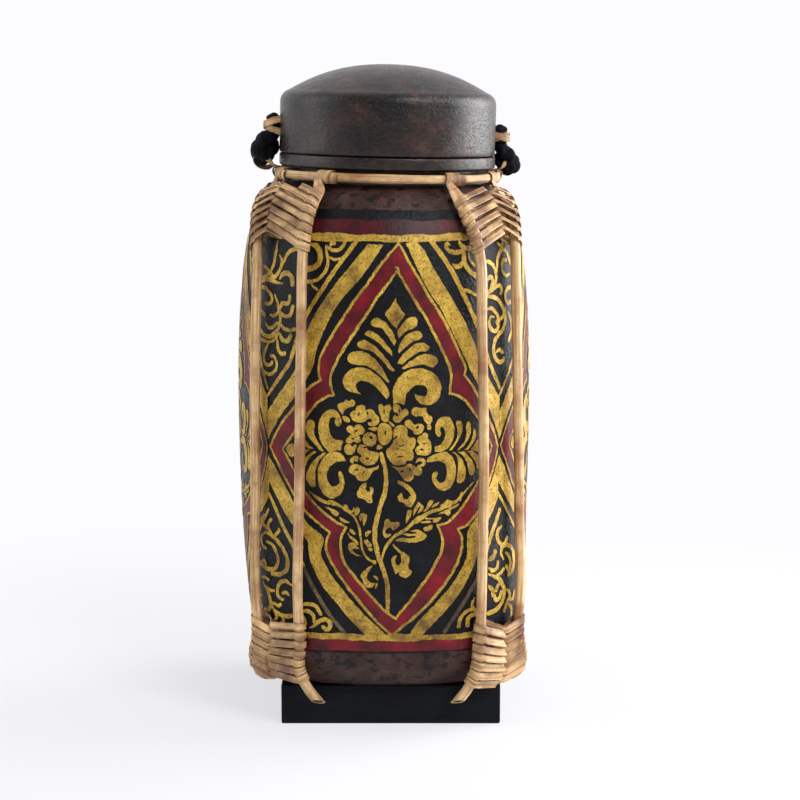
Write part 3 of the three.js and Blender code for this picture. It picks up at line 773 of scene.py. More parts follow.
def rounded(points, radius):
    """The outline with each corner rounded, but for its two ends."""
    steps = 3
    most = 1 / 2.2
    made = [points[0]]
    for before, at, after in zip(points, points[1:], points[2:]):
        ends = []
        for other in (before, after):
            share = min(radius / math.dist(at, other), most)
            ends.append([a + (b - a) * share for a, b in zip(at, other)])
        made += bend_between(ends[0], at, ends[1], steps)
    made.append(points[-1])
    return made


# Hand-turned unevenness: waves round the axis, their change with the seed and the height, and their share
TURNED_WAVES = [(2, 1.0, 0.0, 0.5), (3, 2.3, 0.05, 0.35), (7, 1.0, 0.21, 0.12)]
WOBBLE_FULL_RADIUS = 40


def turned_wobble(size, seed):
    def wobble(radius, z, turn):
        wave = 0.0
        for count, phase, climb, share in TURNED_WAVES:
            wave += share * math.sin(count * turn + seed * phase + z * climb)
        full = clamp(radius / WOBBLE_FULL_RADIUS)
        return radius + wave * size * full, z + math.sin(turn * 2 + seed * 1.7) * size * 0.5 * full

    return wobble


def collar_object():
    foot = NECK_Z - COLLAR_INTO_NECK
    profile = [
        (COLLAR_BORE, NECK_Z),
        (COLLAR_BORE, SPIGOT_TOP_Z),
        (NECK_RADIUS, SPIGOT_TOP_Z),
        (NECK_RADIUS, LEDGE_TOP_Z),
        (LEDGE_RADIUS, LEDGE_TOP_Z),
        (LEDGE_RADIUS, LEDGE_Z),
        (NECK_RADIUS, LEDGE_Z),
        (NECK_RADIUS, foot),
        (COLLAR_BORE, foot),
    ]
    ring = Builder()
    lathe(ring, rounded(profile, COLLAR_ROUNDING), COLLAR_SEGMENTS, turned_wobble(0.12, 1.0))
    made = ring.make("collar_ring", "box", LACQUER)
    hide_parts("neck_collar")


def lid_outline(radius, bottom, inset):
    """The lid's profile from its rim to the middle of its dome, this far inside the outer one."""
    side_steps = 12
    corner_steps = 8
    dome_steps = 30
    corner_z = RIM_Z + LID_SIDE
    corner = LID_CORNER - inset / 2
    dome_start = (radius - corner, corner_z + LID_CORNER_RISE - inset / 2)
    top = RIM_Z + LID_HEIGHT - inset
    points = [(radius, bottom + (corner_z - bottom) * i / side_steps) for i in range(side_steps)]
    points += bend_between((radius, corner_z), (radius, corner_z + corner), dome_start, corner_steps)[:-1]
    handle = (radius - DOME_HANDLE_IN, top - DOME_HANDLE_DROP)
    top_handle = (radius - DOME_TOP_HANDLE_IN, top)
    return points + bezier(dome_start, handle, top_handle, (DOME_MIDDLE, top), dome_steps)


def lid_object():
    inner_radius = LID_RADIUS - LID_WALL
    outer = lid_outline(LID_RADIUS, RIM_Z + RIM_BEVEL, 0)
    inner = lid_outline(inner_radius, RIM_Z, LID_WALL)
    corner = (LID_RADIUS - RIM_CORNER, RIM_Z + RIM_CORNER)
    rim = [corner, (LID_RADIUS - RIM_BEVEL, RIM_Z), (inner_radius, RIM_Z)]
    shell = Builder()
    lathe(shell, outer[::-1] + rim + inner, LID_SEGMENTS, turned_wobble(0.16, 2.0))
    made = shell.make("lid_shell", "lid", LACQUER)
    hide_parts("lid")


def hoop_object():
    stations = []
    for i in range(HOOP_STEPS + 1):
        turn = 2 * math.pi * i / HOOP_STEPS
        swell = 1 + 0.05 * math.sin(3 * turn + 1) + 0.03 * math.sin(11 * turn)
        size = HOOP_THICKNESS * swell
        stations.append(Station(polar(HOOP_RADIUS, turn, HOOP_Z), Vector((0, 0, 1)), size, size))
    ring = Builder()
    sweep(ring, stations, HOOP_SIDES)
    made = ring.make("neck_hoop_cane", "box", RATTAN_ROD)
    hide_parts("neck_hoop")


def plinth_object():
    mesh = bpy.data.meshes.new("plinth_block")
    block = bmesh.new()
    bmesh.ops.create_cube(block, size=1.0)
    side = PLINTH_SIDE * MM
    bmesh.ops.scale(block, vec=(side, side, FOOT_Z * MM), verts=block.verts)
    bmesh.ops.translate(block, vec=(PLINTH_ASIDE * MM, 0, FOOT_Z * MM / 2), verts=block.verts)
    edges = block.edges[:]
    bmesh.ops.bevel(block, geom=edges, offset=PLINTH_BEVEL * MM, segments=4, profile=0.6, affect="EDGES")
    block.to_mesh(mesh)
    block.free()
    made = dress("plinth_block", mesh, "box", PLINTH_PAINT)
    made.modifiers.new("weighted", "WEIGHTED_NORMAL")
    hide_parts("plinth")


basket_object()
collar_object()
lid_object()
hoop_object()
plinth_object()


# Painted ornament. Each figure is drawn in millimetres on the front face: s runs across the face
# from its middle along the belly, z is the height. A point with a third value is a sharp corner.

FACE_TURN = 0.9
PAINT_DROP = 0.9
PAINT_DROP_Z = (40, 150)
SIDE_FACE_SCALE = 0.8125
RED_LIFT = 0.09
GOLD_LIFT = 0.17
FILL_STEP = 2.6
LINE_STEP = 0.7
SLOW_WAVES = 0.45
FAST_WAVES = 1.5
SWELL_IN = 0.22
THIN_OUT = 0.7


def painted_point(azimuth, scale, s, z, lift):
    z -= PAINT_DROP * (1 - smoothstep(z, *PAINT_DROP_Z))
    local = s + body_lean(z) + FACE_TURN
    return off_basket(math.radians(azimuth) + local * scale / BELLY_HALF, z, lift)


def line_steps(a, b):
    return max(2, round((b - a).length / LINE_STEP))


def open_line(points):
    made = []
    for i in range(len(points) - 1):
        made += segment(*neighbours(points, i), line_steps(points[i], points[i + 1]))
    return made


def through(points, closed):
    """A smooth line through points, which breaks at its sharp corners."""
    flat = [Vector(p[:2]) for p in points]
    sharp = [i for i, p in enumerate(points) if len(p) > 2]
    count = len(flat)
    made = []
    if closed and not sharp:
        for i in range(count):
            run = [flat[(i + k) % count] for k in (-1, 0, 1, 2)]
            made += segment(*run, line_steps(run[1], run[2]))
        return made
    if closed:
        flat = flat[sharp[0]:] + flat[:sharp[0] + 1]
        breaks = [i - sharp[0] for i in sharp] + [count]
    else:
        breaks = sorted({0, count - 1, *sharp})
    for start, end in zip(breaks, breaks[1:]):
        made += open_line(flat[start:end + 1])
    return made if closed else made + [flat[-1]]


def brushed(p, seed, size):
    """The unsteady edge of a brush stroke."""
    slow = noise.noise(Vector((p.x * SLOW_WAVES, p.y * SLOW_WAVES, seed)))
    fast = noise.noise(Vector((p.x * FAST_WAVES, p.y * FAST_WAVES, seed + 40)))
    other = noise.noise(Vector((p.x * SLOW_WAVES, p.y * SLOW_WAVES, seed + 80)))
    return Vector((p.x + size * (slow + 0.5 * fast), p.y + size * (other - 0.5 * fast)))


def shape(points):
    return through(points, True)


def round_end(middle, edge):
    """The half circle from an edge point round the end of a stroke."""
    steps = 5
    arm = edge - middle
    made = []
    for i in range(1, steps):
        turn = -math.pi * i / steps
        c, s = math.cos(turn), math.sin(turn)
        made.append(middle + Vector((arm.x * c - arm.y * s, arm.x * s + arm.y * c)))
    return made


def stroke(points, width, start, end):
    """A brush line of one width that swells in from its start and thins out to its end."""
    way = through(points, False)
    lengths = [0.0]
    for a, b in zip(way, way[1:]):
        lengths.append(lengths[-1] + (b - a).length)
    total = max(lengths[-1], 1e-6)
    left = []
    right = []
    for i, p in enumerate(way):
        along = (way[min(i + 1, len(way) - 1)] - way[max(i - 1, 0)]).normalized()
        across = Vector((-along.y, along.x))
        t = lengths[i] / total
        grow = lerp(start, 1, smoothstep(t, 0, SWELL_IN)) * lerp(1, end, smoothstep(t, THIN_OUT, 1))
        reach = width / 2 * grow
        left.append(p + across * reach)
        right.append(p - across * reach)
    return left + round_end(way[-1], left[-1]) + right[::-1] + round_end(way[0], right[0])


def ball(s, z, radius, tall=None, tilt=0.0):
    tall = tall or radius
    tilt_cos = math.cos(math.radians(tilt))
    tilt_sin = math.sin(math.radians(tilt))
    sides = 10
    made = []
    for i in range(sides):
        turn = 2 * math.pi * i / sides
        x, y = radius * math.cos(turn), tall * math.sin(turn)
        made.append(Vector((s + x * tilt_cos - y * tilt_sin, z + x * tilt_sin + y * tilt_cos)))
    return made


def winding(loops, points):
    """How many times the loops go round each point."""
    total = np.zeros(len(points))
    px, py = points[:, 0], points[:, 1]
    for loop in loops:
        a = np.array([tuple(p) for p in loop])
        b = np.roll(a, -1, axis=0)
        for (x0, y0), (x1, y1) in zip(a, b):
            side = (x1 - x0) * (py - y0) - (px - x0) * (y1 - y0)
            total += ((y0 <= py) & (y1 > py) & (side > 0)) * 1.0
            total -= ((y0 > py) & (y1 <= py) & (side < 0)) * 1.0
    return total


def signed_area(loop):
    return sum(a.x * b.y - b.x * a.y for a, b in zip(loop, loop[1:] + loop[:1])) / 2


def filled(outline, holes, seed, rough):
    """Triangles that fill the outline and leave the holes open."""
    loops = []
    for loop, sign in [(outline, 1)] + [(hole, -1) for hole in holes]:
        edge = [brushed(p, seed, rough) for p in loop]
        if signed_area(edge) * sign < 0:
            edge.reverse()
        loops.append(edge)
    coords = []
    edges = []
    for loop in loops:
        first = len(coords)
        coords += loop
        edges += [(first + i, first + (i + 1) % len(loop)) for i in range(len(loop))]
    array = np.array([tuple(p) for p in coords])
    low, high = array.min(0), array.max(0)
    inner = [
        (s, z)
        for s in np.arange(low[0] + FILL_STEP / 2, high[0], FILL_STEP)
        for z in np.arange(low[1] + FILL_STEP / 2, high[1], FILL_STEP)
    ]
    if inner:
        inner = np.array(inner)
        coords += [Vector((float(s), float(z))) for s, z in inner[winding(loops, inner) > 0.5]]
    verts, _, faces, _, _, _ = geometry.delaunay_2d_cdt(coords, edges, [], 0, 1e-5)
    middles = np.array([tuple((verts[a] + verts[b] + verts[c]) / 3) for a, b, c in faces])
    return verts, [face for face, inside in zip(faces, winding(loops, middles) > 0.5) if inside]


FIGURES = {"red": [], "gold": [], "worn_gold": []}


def add(outline, *holes, layer="gold"):
    FIGURES[layer].append((outline, holes))


def figure(points, *holes):
    """A filled gold figure round points."""
    add(shape(points), *holes)


def line(points, width, start=0.35, end=0.6, layer="gold"):
    """A brush line through points."""
    add(stroke(points, width, start, end), layer=layer)


# Frame round the middle panel: the outer gold line, the red band inside it and the inner gold line

OUTER_FRAME = [
    (4, 214, 1), (0, 209.8), (-5, 204), (-10, 197), (-15, 190.7), (-20, 183.3), (-26, 174), (-30.6, 165.5),
    (-31.4, 160), (-30.6, 155.6, 1), (-35, 153), (-38.5, 149.6), (-45, 142), (-50, 136.6), (-54.5, 130.8),
    (-58.8, 124.5, 1), (-55, 119.3), (-50, 112.5), (-45, 105.7), (-40, 100.2), (-35, 96.2), (-30, 92.8),
    (-26.4, 90.5, 1), (-27.9, 87), (-28, 83), (-26, 78), (-22, 71.5), (-18, 65.8), (-13, 59.5), (-8, 53.5),
    (-4, 49.2), (0.8, 45.4, 1), (5, 48.7), (10, 52.8), (15.5, 58), (21, 64.3), (25.5, 70.3), (29.2, 76.2),
    (31.4, 82), (31.8, 87), (30.1, 91.1, 1), (34, 92), (38, 94.8), (42, 98.6), (45, 103.8), (48.5, 110.3),
    (51, 116), (52.6, 120.4), (53.4, 124.6, 1), (51.6, 129), (48, 135.6), (44, 142.5), (40, 148.8),
    (36.5, 154), (33.4, 157.2, 1), (34.2, 160), (31.5, 166), (28, 173.5), (22.2, 184.2), (18, 190.3),
    (14, 197.3), (10, 203.7), (6.6, 209.8),
]
INNER_FRAME = [
    (3.3, 202.6, 1), (0, 198.4), (-5, 192), (-10, 184.6), (-15, 177), (-20, 169.6), (-24, 162.2),
    (-25.9, 157), (-25.6, 153), (-24.2, 149.6, 1), (-27, 149), (-30, 147.4), (-33, 144.8), (-36, 141.4),
    (-39, 138), (-43, 133.2), (-47, 128.6), (-50.6, 124.4, 1), (-47, 119.7), (-43, 113.7), (-39.5, 107.9),
    (-35.5, 103.8), (-30, 99.3), (-25, 96), (-19.2, 93, 1), (-21, 90), (-21.6, 86), (-21.2, 81),
    (-19.5, 77), (-16, 72), (-12, 67), (-8, 62.2), (-4, 57.8), (0, 54.4), (2.6, 52.8, 1), (5, 56.4),
    (9, 61), (13, 66.4), (16.5, 71.4), (20, 77.4), (22.3, 82), (22.8, 86.5), (22, 91), (20.6, 93.4, 1),
    (25, 94.2), (29, 97), (33, 100.6), (37, 105), (41, 110), (44, 114.5), (47, 119.6), (49.4, 124.8, 1),
    (46, 130.6), (42.5, 136), (40, 139), (37, 142.7), (34, 146.1), (30, 148.9), (26.2, 149.8, 1),
    (26.4, 153), (27, 157), (26.2, 161), (24, 166.3), (20, 174.2), (15, 183.6), (10, 191.6), (6, 198.2),
]
add(shape(OUTER_FRAME), shape(INNER_FRAME), layer="red")


def frame_lines(points, width):
    """The outline of a frame as brush lines from corner to corner."""
    corners = [i for i, p in enumerate(points) if len(p) > 2]
    for a, b in zip(corners, corners[1:] + corners[:1]):
        run = points[a:b + 1] if b > a else points[a:] + points[:b + 1]
        line([p[:2] for p in run], width, 0.8, 0.8)


frame_lines(OUTER_FRAME, 1.25)
frame_lines(INNER_FRAME, 1.25)
line([(2.4, 204.2), (3.4, 203.8), (3.9, 202)], 1.1)

# Wide gold bands outside the frame, and the thinner lines outside them

figure([(-3, 213.4, 1), (-8, 206), (-12.5, 200), (-17, 195), (-22, 189.5), (-26, 183), (-29.5, 176),
        (-32.6, 168), (-34.2, 161.2), (-38, 154.8), (-44, 147), (-50, 140.5), (-54, 135.6),
        (-60.2, 127.2, 1), (-60.2, 139.5, 1), (-55, 145.3), (-50, 151), (-44, 158.3), (-41, 167),
        (-38, 175), (-34, 183), (-29, 190.5), (-22, 199.5), (-16, 206.6), (-10, 213.6, 1)])
figure([(7.5, 214, 1), (11.5, 205), (14.5, 199), (18, 192.6), (22, 187), (26, 179.6), (30, 172),
        (34, 164.6), (36.2, 160), (39.6, 154.4), (44, 147.2), (48, 140.2), (51, 134.3), (54.2, 128, 1),
        (54.2, 145.6, 1), (50, 151), (44.8, 158.6), (41.5, 165), (38.5, 171.8), (35, 179), (31.5, 184.8),
        (27.5, 191.4), (22.5, 199), (19, 204.7), (15.6, 211), (12, 214.6, 1)])
figure([(-60.2, 120.4, 1), (-55, 115), (-50, 108.6), (-44.5, 101.6), (-39, 95.6), (-35, 92), (-31, 89.6),
        (-29.2, 87.6), (-29.6, 84.6), (-30.4, 81), (-29, 77.4), (-25, 71), (-20, 64.5), (-15, 58.2),
        (-9, 52), (-4, 47.5), (-1, 44.8, 1), (-11, 44.8, 1), (-18, 52.5), (-24, 60), (-29, 66), (-33, 73),
        (-35.2, 78), (-36, 82), (-36.6, 85.6), (-40, 88.6), (-44.5, 92), (-50, 97.4), (-55, 103),
        (-60.2, 108.6, 1)])
figure([(54.2, 120.4, 1), (51.6, 113.6), (49, 108.4), (46, 103), (42, 97.2), (38, 93.2), (35, 90),
        (34.2, 86), (34.2, 82), (33.4, 78), (30.6, 73), (26.6, 67.2), (21.6, 61.4), (16.6, 55.8),
        (12, 50.8), (8.6, 45.6, 1), (14.6, 45.4, 1), (18.4, 49.6), (23.4, 55), (28.4, 60.8), (32.6, 67),
        (36.6, 74), (39.4, 80.4), (41, 85), (42.4, 89), (45, 91.6), (48.4, 94.8), (51.4, 98.4),
        (54.2, 102, 1)])
line([(-15.2, 215), (-20, 208.8), (-24, 203.6), (-28, 198), (-32, 192), (-36, 186), (-40, 179), (-43, 171),
      (-46.5, 162), (-51, 156.5), (-56, 151), (-60, 146.8)], 1.9, 1, 0.8)
line([(19.4, 215), (23, 210), (27, 204.5), (30, 199.5), (33, 194), (36, 188), (38, 184), (41, 177.5),
      (44, 170), (47.5, 162), (51, 155.5), (54.2, 150)], 2.2, 1, 0.8)
line([(-60, 103.3), (-55, 97.5), (-50, 91), (-46, 86.2), (-42, 80.8), (-38.4, 75)], 1.8, 0.9, 1)
line([(54.5, 96.2), (50.4, 90.4), (46, 84), (42, 76), (39, 70)], 2, 0.9, 1)
line([(-38.4, 75), (-34, 66.5), (-30, 59.5), (-26, 53), (-20.5, 46)], 1.7, 1, 1, "worn_gold")
line([(39, 70), (35, 63.5), (31, 57.5), (27.5, 52), (24, 46.5)], 1.7, 1, 1, "worn_gold")

# Palmette over the flower

figure([(2.3, 191.4, 1), (0.6, 188.4), (-1.4, 185.8), (-2.1, 184, 1), (0.3, 181), (2.6, 178.2, 1),
        (4.2, 181.4), (6.8, 184.3, 1), (4.9, 186.2), (3.4, 188.6)])
figure([(2.7, 173, 1), (1, 177), (-1.5, 180.5), (-4, 182.4), (-6.6, 182.9), (-8.4, 180.9), (-6.8, 179.2),
        (-4, 178.6), (-1.5, 176), (0.5, 173), (1.7, 171.1, 1)])
figure([(0.8, 168.6, 1), (-1, 171.2), (-4, 174.6), (-7, 177), (-9.6, 177.6), (-10.8, 176), (-8.2, 174.5),
        (-5, 172.5), (-2, 169.5), (0.8, 166.8, 1)])
figure([(2.1, 160.8, 1), (-1, 164.6), (-4, 168.6), (-8, 172), (-11.6, 173.7), (-14.1, 171.8),
        (-13.2, 170.2), (-8, 169), (-4, 165.5), (-1, 161.9), (0.6, 160.2, 1)])
figure([(-0.4, 156, 1), (-3, 161), (-6, 165), (-10, 168), (-14, 168.9), (-18, 167), (-18, 164.6),
        (-15.6, 163.2), (-10, 162.6), (-6, 160.2), (-3, 157.6), (-0.9, 155.4, 1)])
figure([(3, 177.4, 1), (5, 180), (8, 182.8), (10.6, 183.3), (11.9, 181.4), (11.5, 179.4), (9.5, 178.4),
        (7, 177.4), (5, 175.7), (3.8, 174.3, 1)])
figure([(3.2, 168.6, 1), (4.5, 172.5), (7, 175.6), (10, 177), (12.8, 176.9), (14, 175), (12.8, 173.8),
        (10, 172.9), (7, 171), (3.8, 167.8, 1)])
figure([(3.1, 163.8, 1), (5, 167), (8, 170), (12, 172.1), (15, 171.8), (17, 170.2), (15.8, 168.7),
        (12, 168.1), (8, 165.6), (5, 163.4, 1)])
figure([(4.8, 161.6, 1), (8, 164.1), (12, 166.6), (16, 167.3), (19.6, 166.2), (20.6, 164), (18.8, 161.7),
        (14, 162.9), (10, 162.4), (5.6, 161.1, 1)])
figure([(-1.4, 148.4, 1), (-0.4, 151), (-2, 154.6), (-5, 158.2), (-9, 161.1), (-13, 162), (-17, 160.8),
        (-19.8, 158), (-20.3, 155), (-19, 152.6), (-16.2, 151.3), (-12.4, 150.6, 1), (-14, 152.4),
        (-14.5, 154.5), (-13.6, 155.8), (-11.5, 156.3), (-8.5, 155.4), (-5.6, 153.4), (-3.2, 150.4)])
figure([(1.3, 146.6, 1), (1.2, 150), (1.3, 153), (2.5, 156), (5, 159), (8.5, 161), (12.5, 161.4),
        (17, 160.2), (20.5, 157.5), (22.1, 154), (21.8, 150), (20, 147), (16.8, 145.6), (13.3, 146.2),
        (11, 148.3), (10.2, 150.6, 1), (12.6, 149.7), (15, 149.4), (16, 150.8), (15.7, 152.9),
        (13.8, 154.2), (11, 154.2), (8.6, 152.8), (6.8, 150.2), (6.1, 147.6), (5.8, 145.8, 1), (3.5, 146.8)])

# Petals of the flower's head

figure([(-22.5, 145.4), (-21, 146.8), (-19.8, 146.9), (-19, 148), (-17.5, 147.2), (-16.3, 148.3),
        (-15, 147.2), (-15.2, 145.6), (-17, 144.9), (-18.8, 144.4), (-19.8, 143), (-20.4, 141.4, 1),
        (-22, 143.4)])
figure([(-20.4, 141), (-19, 141), (-17.9, 140.3), (-17.2, 139), (-18.3, 138.3), (-19.5, 138.6)])
figure([(-17, 142.2), (-15.9, 143.4), (-14.9, 143.6), (-14.4, 145.1), (-12.5, 146), (-10.8, 145.4),
        (-10.2, 143.7), (-9, 144.4), (-7.3, 143.9), (-6.5, 142.5), (-5.2, 141.2), (-4.7, 139.3),
        (-5.4, 137.5), (-7.5, 137), (-9.4, 137.7), (-9.6, 138.6), (-8.4, 138.5), (-7.6, 139.2),
        (-8.2, 140.1), (-9.6, 140), (-10.6, 139), (-12, 138.6), (-14, 138.5), (-16, 139.5), (-17, 141)],
       ball(-13.3, 142, 0.45, 0.9), ball(-9.7, 142.6, 0.42, 0.8))
figure([(-18.7, 135.5), (-17.8, 136.9), (-16.5, 136.9), (-15.7, 136.2), (-14.8, 137.3), (-13, 137.4),
        (-11.2, 136.1), (-10.9, 134.4), (-11.9, 133.3), (-13.3, 133.2), (-12.7, 131.5), (-12.9, 130),
        (-14.3, 129.6), (-15.5, 130.4), (-17, 129.3), (-18.8, 129.5), (-19, 131.3), (-17.5, 132.3),
        (-16.9, 133.2), (-18, 134)], ball(-14.3, 134.9, 1.0, 0.4, 25), ball(-16, 131.3, 0.7, 0.35))
add(ball(-8.8, 131.3, 3.1), ball(-8.2, 132, 0.75))
figure([(-9.4, 136), (-7.6, 135.1), (-5.8, 135), (-5.4, 136.2), (-7, 136.6)])
figure([(-14, 127.4), (-13, 128.9), (-11.6, 129), (-10.3, 128.4), (-9.4, 126.6), (-7, 126.1), (-5.2, 125.5),
        (-5, 123.5), (-6, 121.4), (-8, 120.3), (-10.5, 120.3), (-12.5, 121.6), (-13.2, 123.3),
        (-12.2, 123.9), (-12.8, 124.8), (-14, 125.6)], ball(-10.8, 127.7, 0.95, 0.4),
       ball(-9.8, 122.9, 0.85, 0.42))
figure([(-19.8, 127), (-19, 128.8), (-17.5, 129), (-16, 128.3), (-14.9, 129), (-14.5, 128), (-15, 126.8),
        (-15.6, 125.4), (-17, 124.4), (-18.9, 124.7)], ball(-16.2, 128.2, 0.5, 0.3))
figure([(-17.8, 117), (-17.3, 119.5), (-15.5, 120.5), (-13.5, 120.4), (-12, 119.6), (-9.5, 118.8),
        (-7, 119.1), (-4.9, 120.3), (-5.2, 119), (-7.5, 117.4), (-8.8, 115.5), (-10, 113.8), (-12, 113.2),
        (-14, 113.8), (-15, 115.3), (-16.2, 116.2)], ball(-11.5, 116.8, 0.28, 1.2, -40),
       ball(-14.6, 118.2, 0.8, 0.4, 20))
figure([(-17.3, 121.5), (-17, 123), (-15.6, 123.8), (-14.1, 124), (-13.5, 123), (-14.3, 121.4),
        (-15.2, 121.9), (-15.9, 120.7)])
figure([(-5.6, 133.8), (-5.3, 136.5), (-4, 138), (-2, 138.2), (-0.3, 137.3), (0.7, 135.4), (0.7, 132.5),
        (0, 130.5), (-1.5, 129.1), (-3.6, 129), (-5, 131)], ball(-2, 134.2, 0.42, 0.95, -12))
figure([(-5.9, 128.5), (-4.7, 129), (-3.3, 127.9), (-4.4, 127), (-5.9, 127)])
figure([(-4.8, 143.5), (-5, 146), (-3.8, 146.5), (-2.8, 145.4), (-1.8, 146.1), (0, 146), (0.3, 144.4),
        (-0.3, 142.5), (-0.5, 140), (-1.2, 138.9), (-3, 138.9), (-3.9, 140.5), (-4.3, 142)],
       ball(-2.5, 143.4, 0.34, 1.0))
figure([(1, 144.6), (1.7, 146.3), (3, 146.5), (4.2, 145), (5, 143.6), (6.3, 144.3), (7.7, 143.3),
        (7.8, 141.7), (6, 140.8), (4.7, 139.5), (3.8, 138.3), (2.2, 138.8), (1, 139.8), (0.9, 141),
        (2, 141.8), (2.8, 141), (3.3, 141.6), (2.7, 142.6), (1.5, 143.1)], ball(4, 143.4, 0.38, 0.95))
figure([(-0.8, 139.2), (0.6, 138.6), (1.8, 137.2), (1.4, 136.5), (0.1, 137.5)])
figure([(8.9, 143), (9.6, 144.7), (11.5, 144.6), (13, 144.4), (15.3, 144.5), (15.8, 142.6), (16.5, 141.4),
        (18, 140.5), (18.1, 138.5), (17.2, 137), (17.8, 136), (17, 134.8), (15.8, 135.5), (15.8, 137.5),
        (14.6, 138.8), (14, 140.6), (12.5, 141), (10.8, 140.8), (9.6, 141.6)])
figure([(6, 138.2), (7, 139.5), (8.5, 139.5), (9.5, 138), (10.5, 137), (12, 137.9), (13.7, 137.3),
        (14.4, 135.5), (13.5, 133.8), (12, 133), (10.3, 133.3), (9.5, 135), (8, 136), (6.5, 137)],
       ball(11.5, 136, 0.9, 0.45, 40))
figure([(11.6, 131), (12.1, 132.4), (13.6, 132.8), (14.6, 134), (16, 133.3), (16.3, 131.3), (17.3, 129.8),
        (17.9, 127.5), (17.4, 124.9), (15.8, 123.8), (13, 124.3), (11.7, 124.4), (10.7, 126.4), (11.5, 128),
        (12.6, 128.7), (11.8, 129.6)], ball(14.7, 129.2, 1.2, 0.26), ball(13.6, 126.6, 0.95, 0.5))
figure([(1.2, 134), (1.9, 136.3), (3.9, 137.3), (6.3, 136.7), (7.4, 134.8), (7.3, 132.4), (8.6, 131.9),
        (10, 132), (10.9, 130), (10.3, 127.8), (9.4, 126.6), (10, 125), (9.8, 122.9), (8.3, 121.9),
        (7, 122), (6.3, 120.6), (4.3, 120.2), (1.8, 120.4), (0, 122), (-1.3, 124), (-1.8, 126.5),
        (-0.5, 127.8), (0.9, 129.5), (1.5, 131.5)], ball(2.3, 132, 1.1, 0.4, 38),
       ball(4.7, 128.4, 1.4, 0.32, 8), ball(4, 123.7, 1.8, 0.36, 3))
line([(11.2, 121), (12.4, 122.3), (14, 122), (14.7, 120.6), (13.5, 119.8), (12.1, 119.4)], 1.4)
figure([(0.2, 120), (2, 119.4), (4.5, 119.3), (6.3, 119.8), (8, 120.7), (9.8, 120), (11, 119),
        (12.5, 119.4), (13.7, 118.3), (13.4, 116.2), (12, 115.4), (10.4, 115.8), (9.8, 114), (8.3, 113),
        (6.3, 113.4), (5, 115), (3.5, 117.3), (1.8, 118.8)], ball(8.4, 118, 0.35, 1.0, 20),
       ball(4.9, 117.5, 0.75, 0.4, 20))

# Palmettes at the sides, with their scrolls

figure([(19.4, 125.2, 1), (23, 125.3), (25.5, 126.5), (27.5, 129.5), (28.5, 133.5), (27.9, 137),
        (26.3, 139.5), (23.8, 140.2), (21, 139.2), (19.7, 136.5), (19.6, 134), (20.4, 132), (21.5, 131.7),
        (22.1, 133), (21.6, 134.6), (22, 135.8), (23, 135.8), (24, 134), (24, 131.5), (22.8, 129),
        (21, 127.8), (19.4, 127.8, 1)])
figure([(26, 125.4, 1), (28, 127.5), (29.7, 130.5), (30.1, 133.5), (29.2, 137.2), (30.4, 138),
        (31.9, 137.4), (32.4, 134.8), (31.5, 131), (29.5, 128), (27.4, 125.3, 1)])
figure([(30, 125.3, 1), (32, 126.8), (34, 129.5), (34.7, 132.5), (34.4, 135.8), (35.5, 137.1), (36.7, 136),
        (36.8, 133), (35.5, 129.5), (33.3, 126.7), (30.8, 125, 1)])
figure([(33.3, 125, 1), (35.5, 126.5), (37.3, 128.7), (38, 131), (38.8, 133.8), (39.8, 132), (39.5, 129.5),
        (38, 127.3), (35.8, 125.1, 1)])
figure([(37.2, 125, 1), (39, 126.8), (41, 129.2), (43.4, 127), (46.4, 124.8, 1), (43, 122.6), (40, 123.8)])
figure([(15.9, 121, 1), (16.2, 122.6), (18.5, 123.8), (21.5, 124.6), (24.5, 124.9), (27, 123), (28.8, 120),
        (29.4, 116.5), (28.9, 112.5), (27, 109.5), (24, 108.2), (21, 109.2), (18.8, 111.7), (18, 114.5),
        (18.8, 116.4), (20.3, 116.9), (20.8, 115.7), (20, 114.4), (20.5, 112.8), (22, 111.6), (23.7, 112),
        (24.9, 114), (24.7, 117.5), (23.5, 120.4), (21, 121.3), (18, 120.9)])
figure([(27.5, 124.6, 1), (29.8, 122.6), (30.5, 119), (30.2, 114.5), (30.1, 111.5), (31.6, 110.6),
        (33.4, 111.3), (34.3, 113.6), (34.1, 117.5), (32.3, 121), (29, 124.4, 1)])
figure([(30.4, 124.4, 1), (33, 122.4), (34.8, 119.6), (35.8, 116.2), (36.5, 114.1), (37.9, 113.6),
        (39.2, 115), (39.1, 117.6), (37.3, 120.6), (33.4, 124.3, 1)])
figure([(34.6, 124.5, 1), (37, 122.4), (39.3, 119.4), (40.7, 116.4), (41.8, 116.2), (42.5, 118),
        (41.6, 121), (38, 124.3, 1)])
figure([(-25.4, 125.2, 1), (-23, 126.2), (-21.2, 126.1), (-20.9, 128.6), (-20.2, 129.8), (-20.9, 130.6),
        (-23, 130.4), (-25, 131.5), (-26.3, 134), (-26.6, 137), (-26.2, 139.4), (-24.9, 140.3),
        (-23.8, 139.9), (-23.9, 138), (-23, 136.5), (-21.8, 136.6), (-20.9, 137.8), (-21, 139.5),
        (-22, 141.8), (-23.8, 143.3), (-26, 143.6), (-28.8, 142), (-31, 138.5), (-31.6, 134.5), (-31, 131),
        (-29.5, 128), (-27, 125.3, 1)])
figure([(-29, 125.3, 1), (-31, 128), (-33.2, 131.5), (-33.7, 134), (-33.1, 137), (-34.5, 138.3),
        (-36.4, 138), (-37.8, 136.4), (-37.6, 133.5), (-35.5, 130), (-32.5, 127), (-30.4, 125.2, 1)])
figure([(-34, 125.9, 1), (-36.5, 127.8), (-38.7, 130), (-40, 132), (-41.4, 131.2), (-40.4, 128.8),
        (-38.4, 127), (-36, 125.7, 1)])
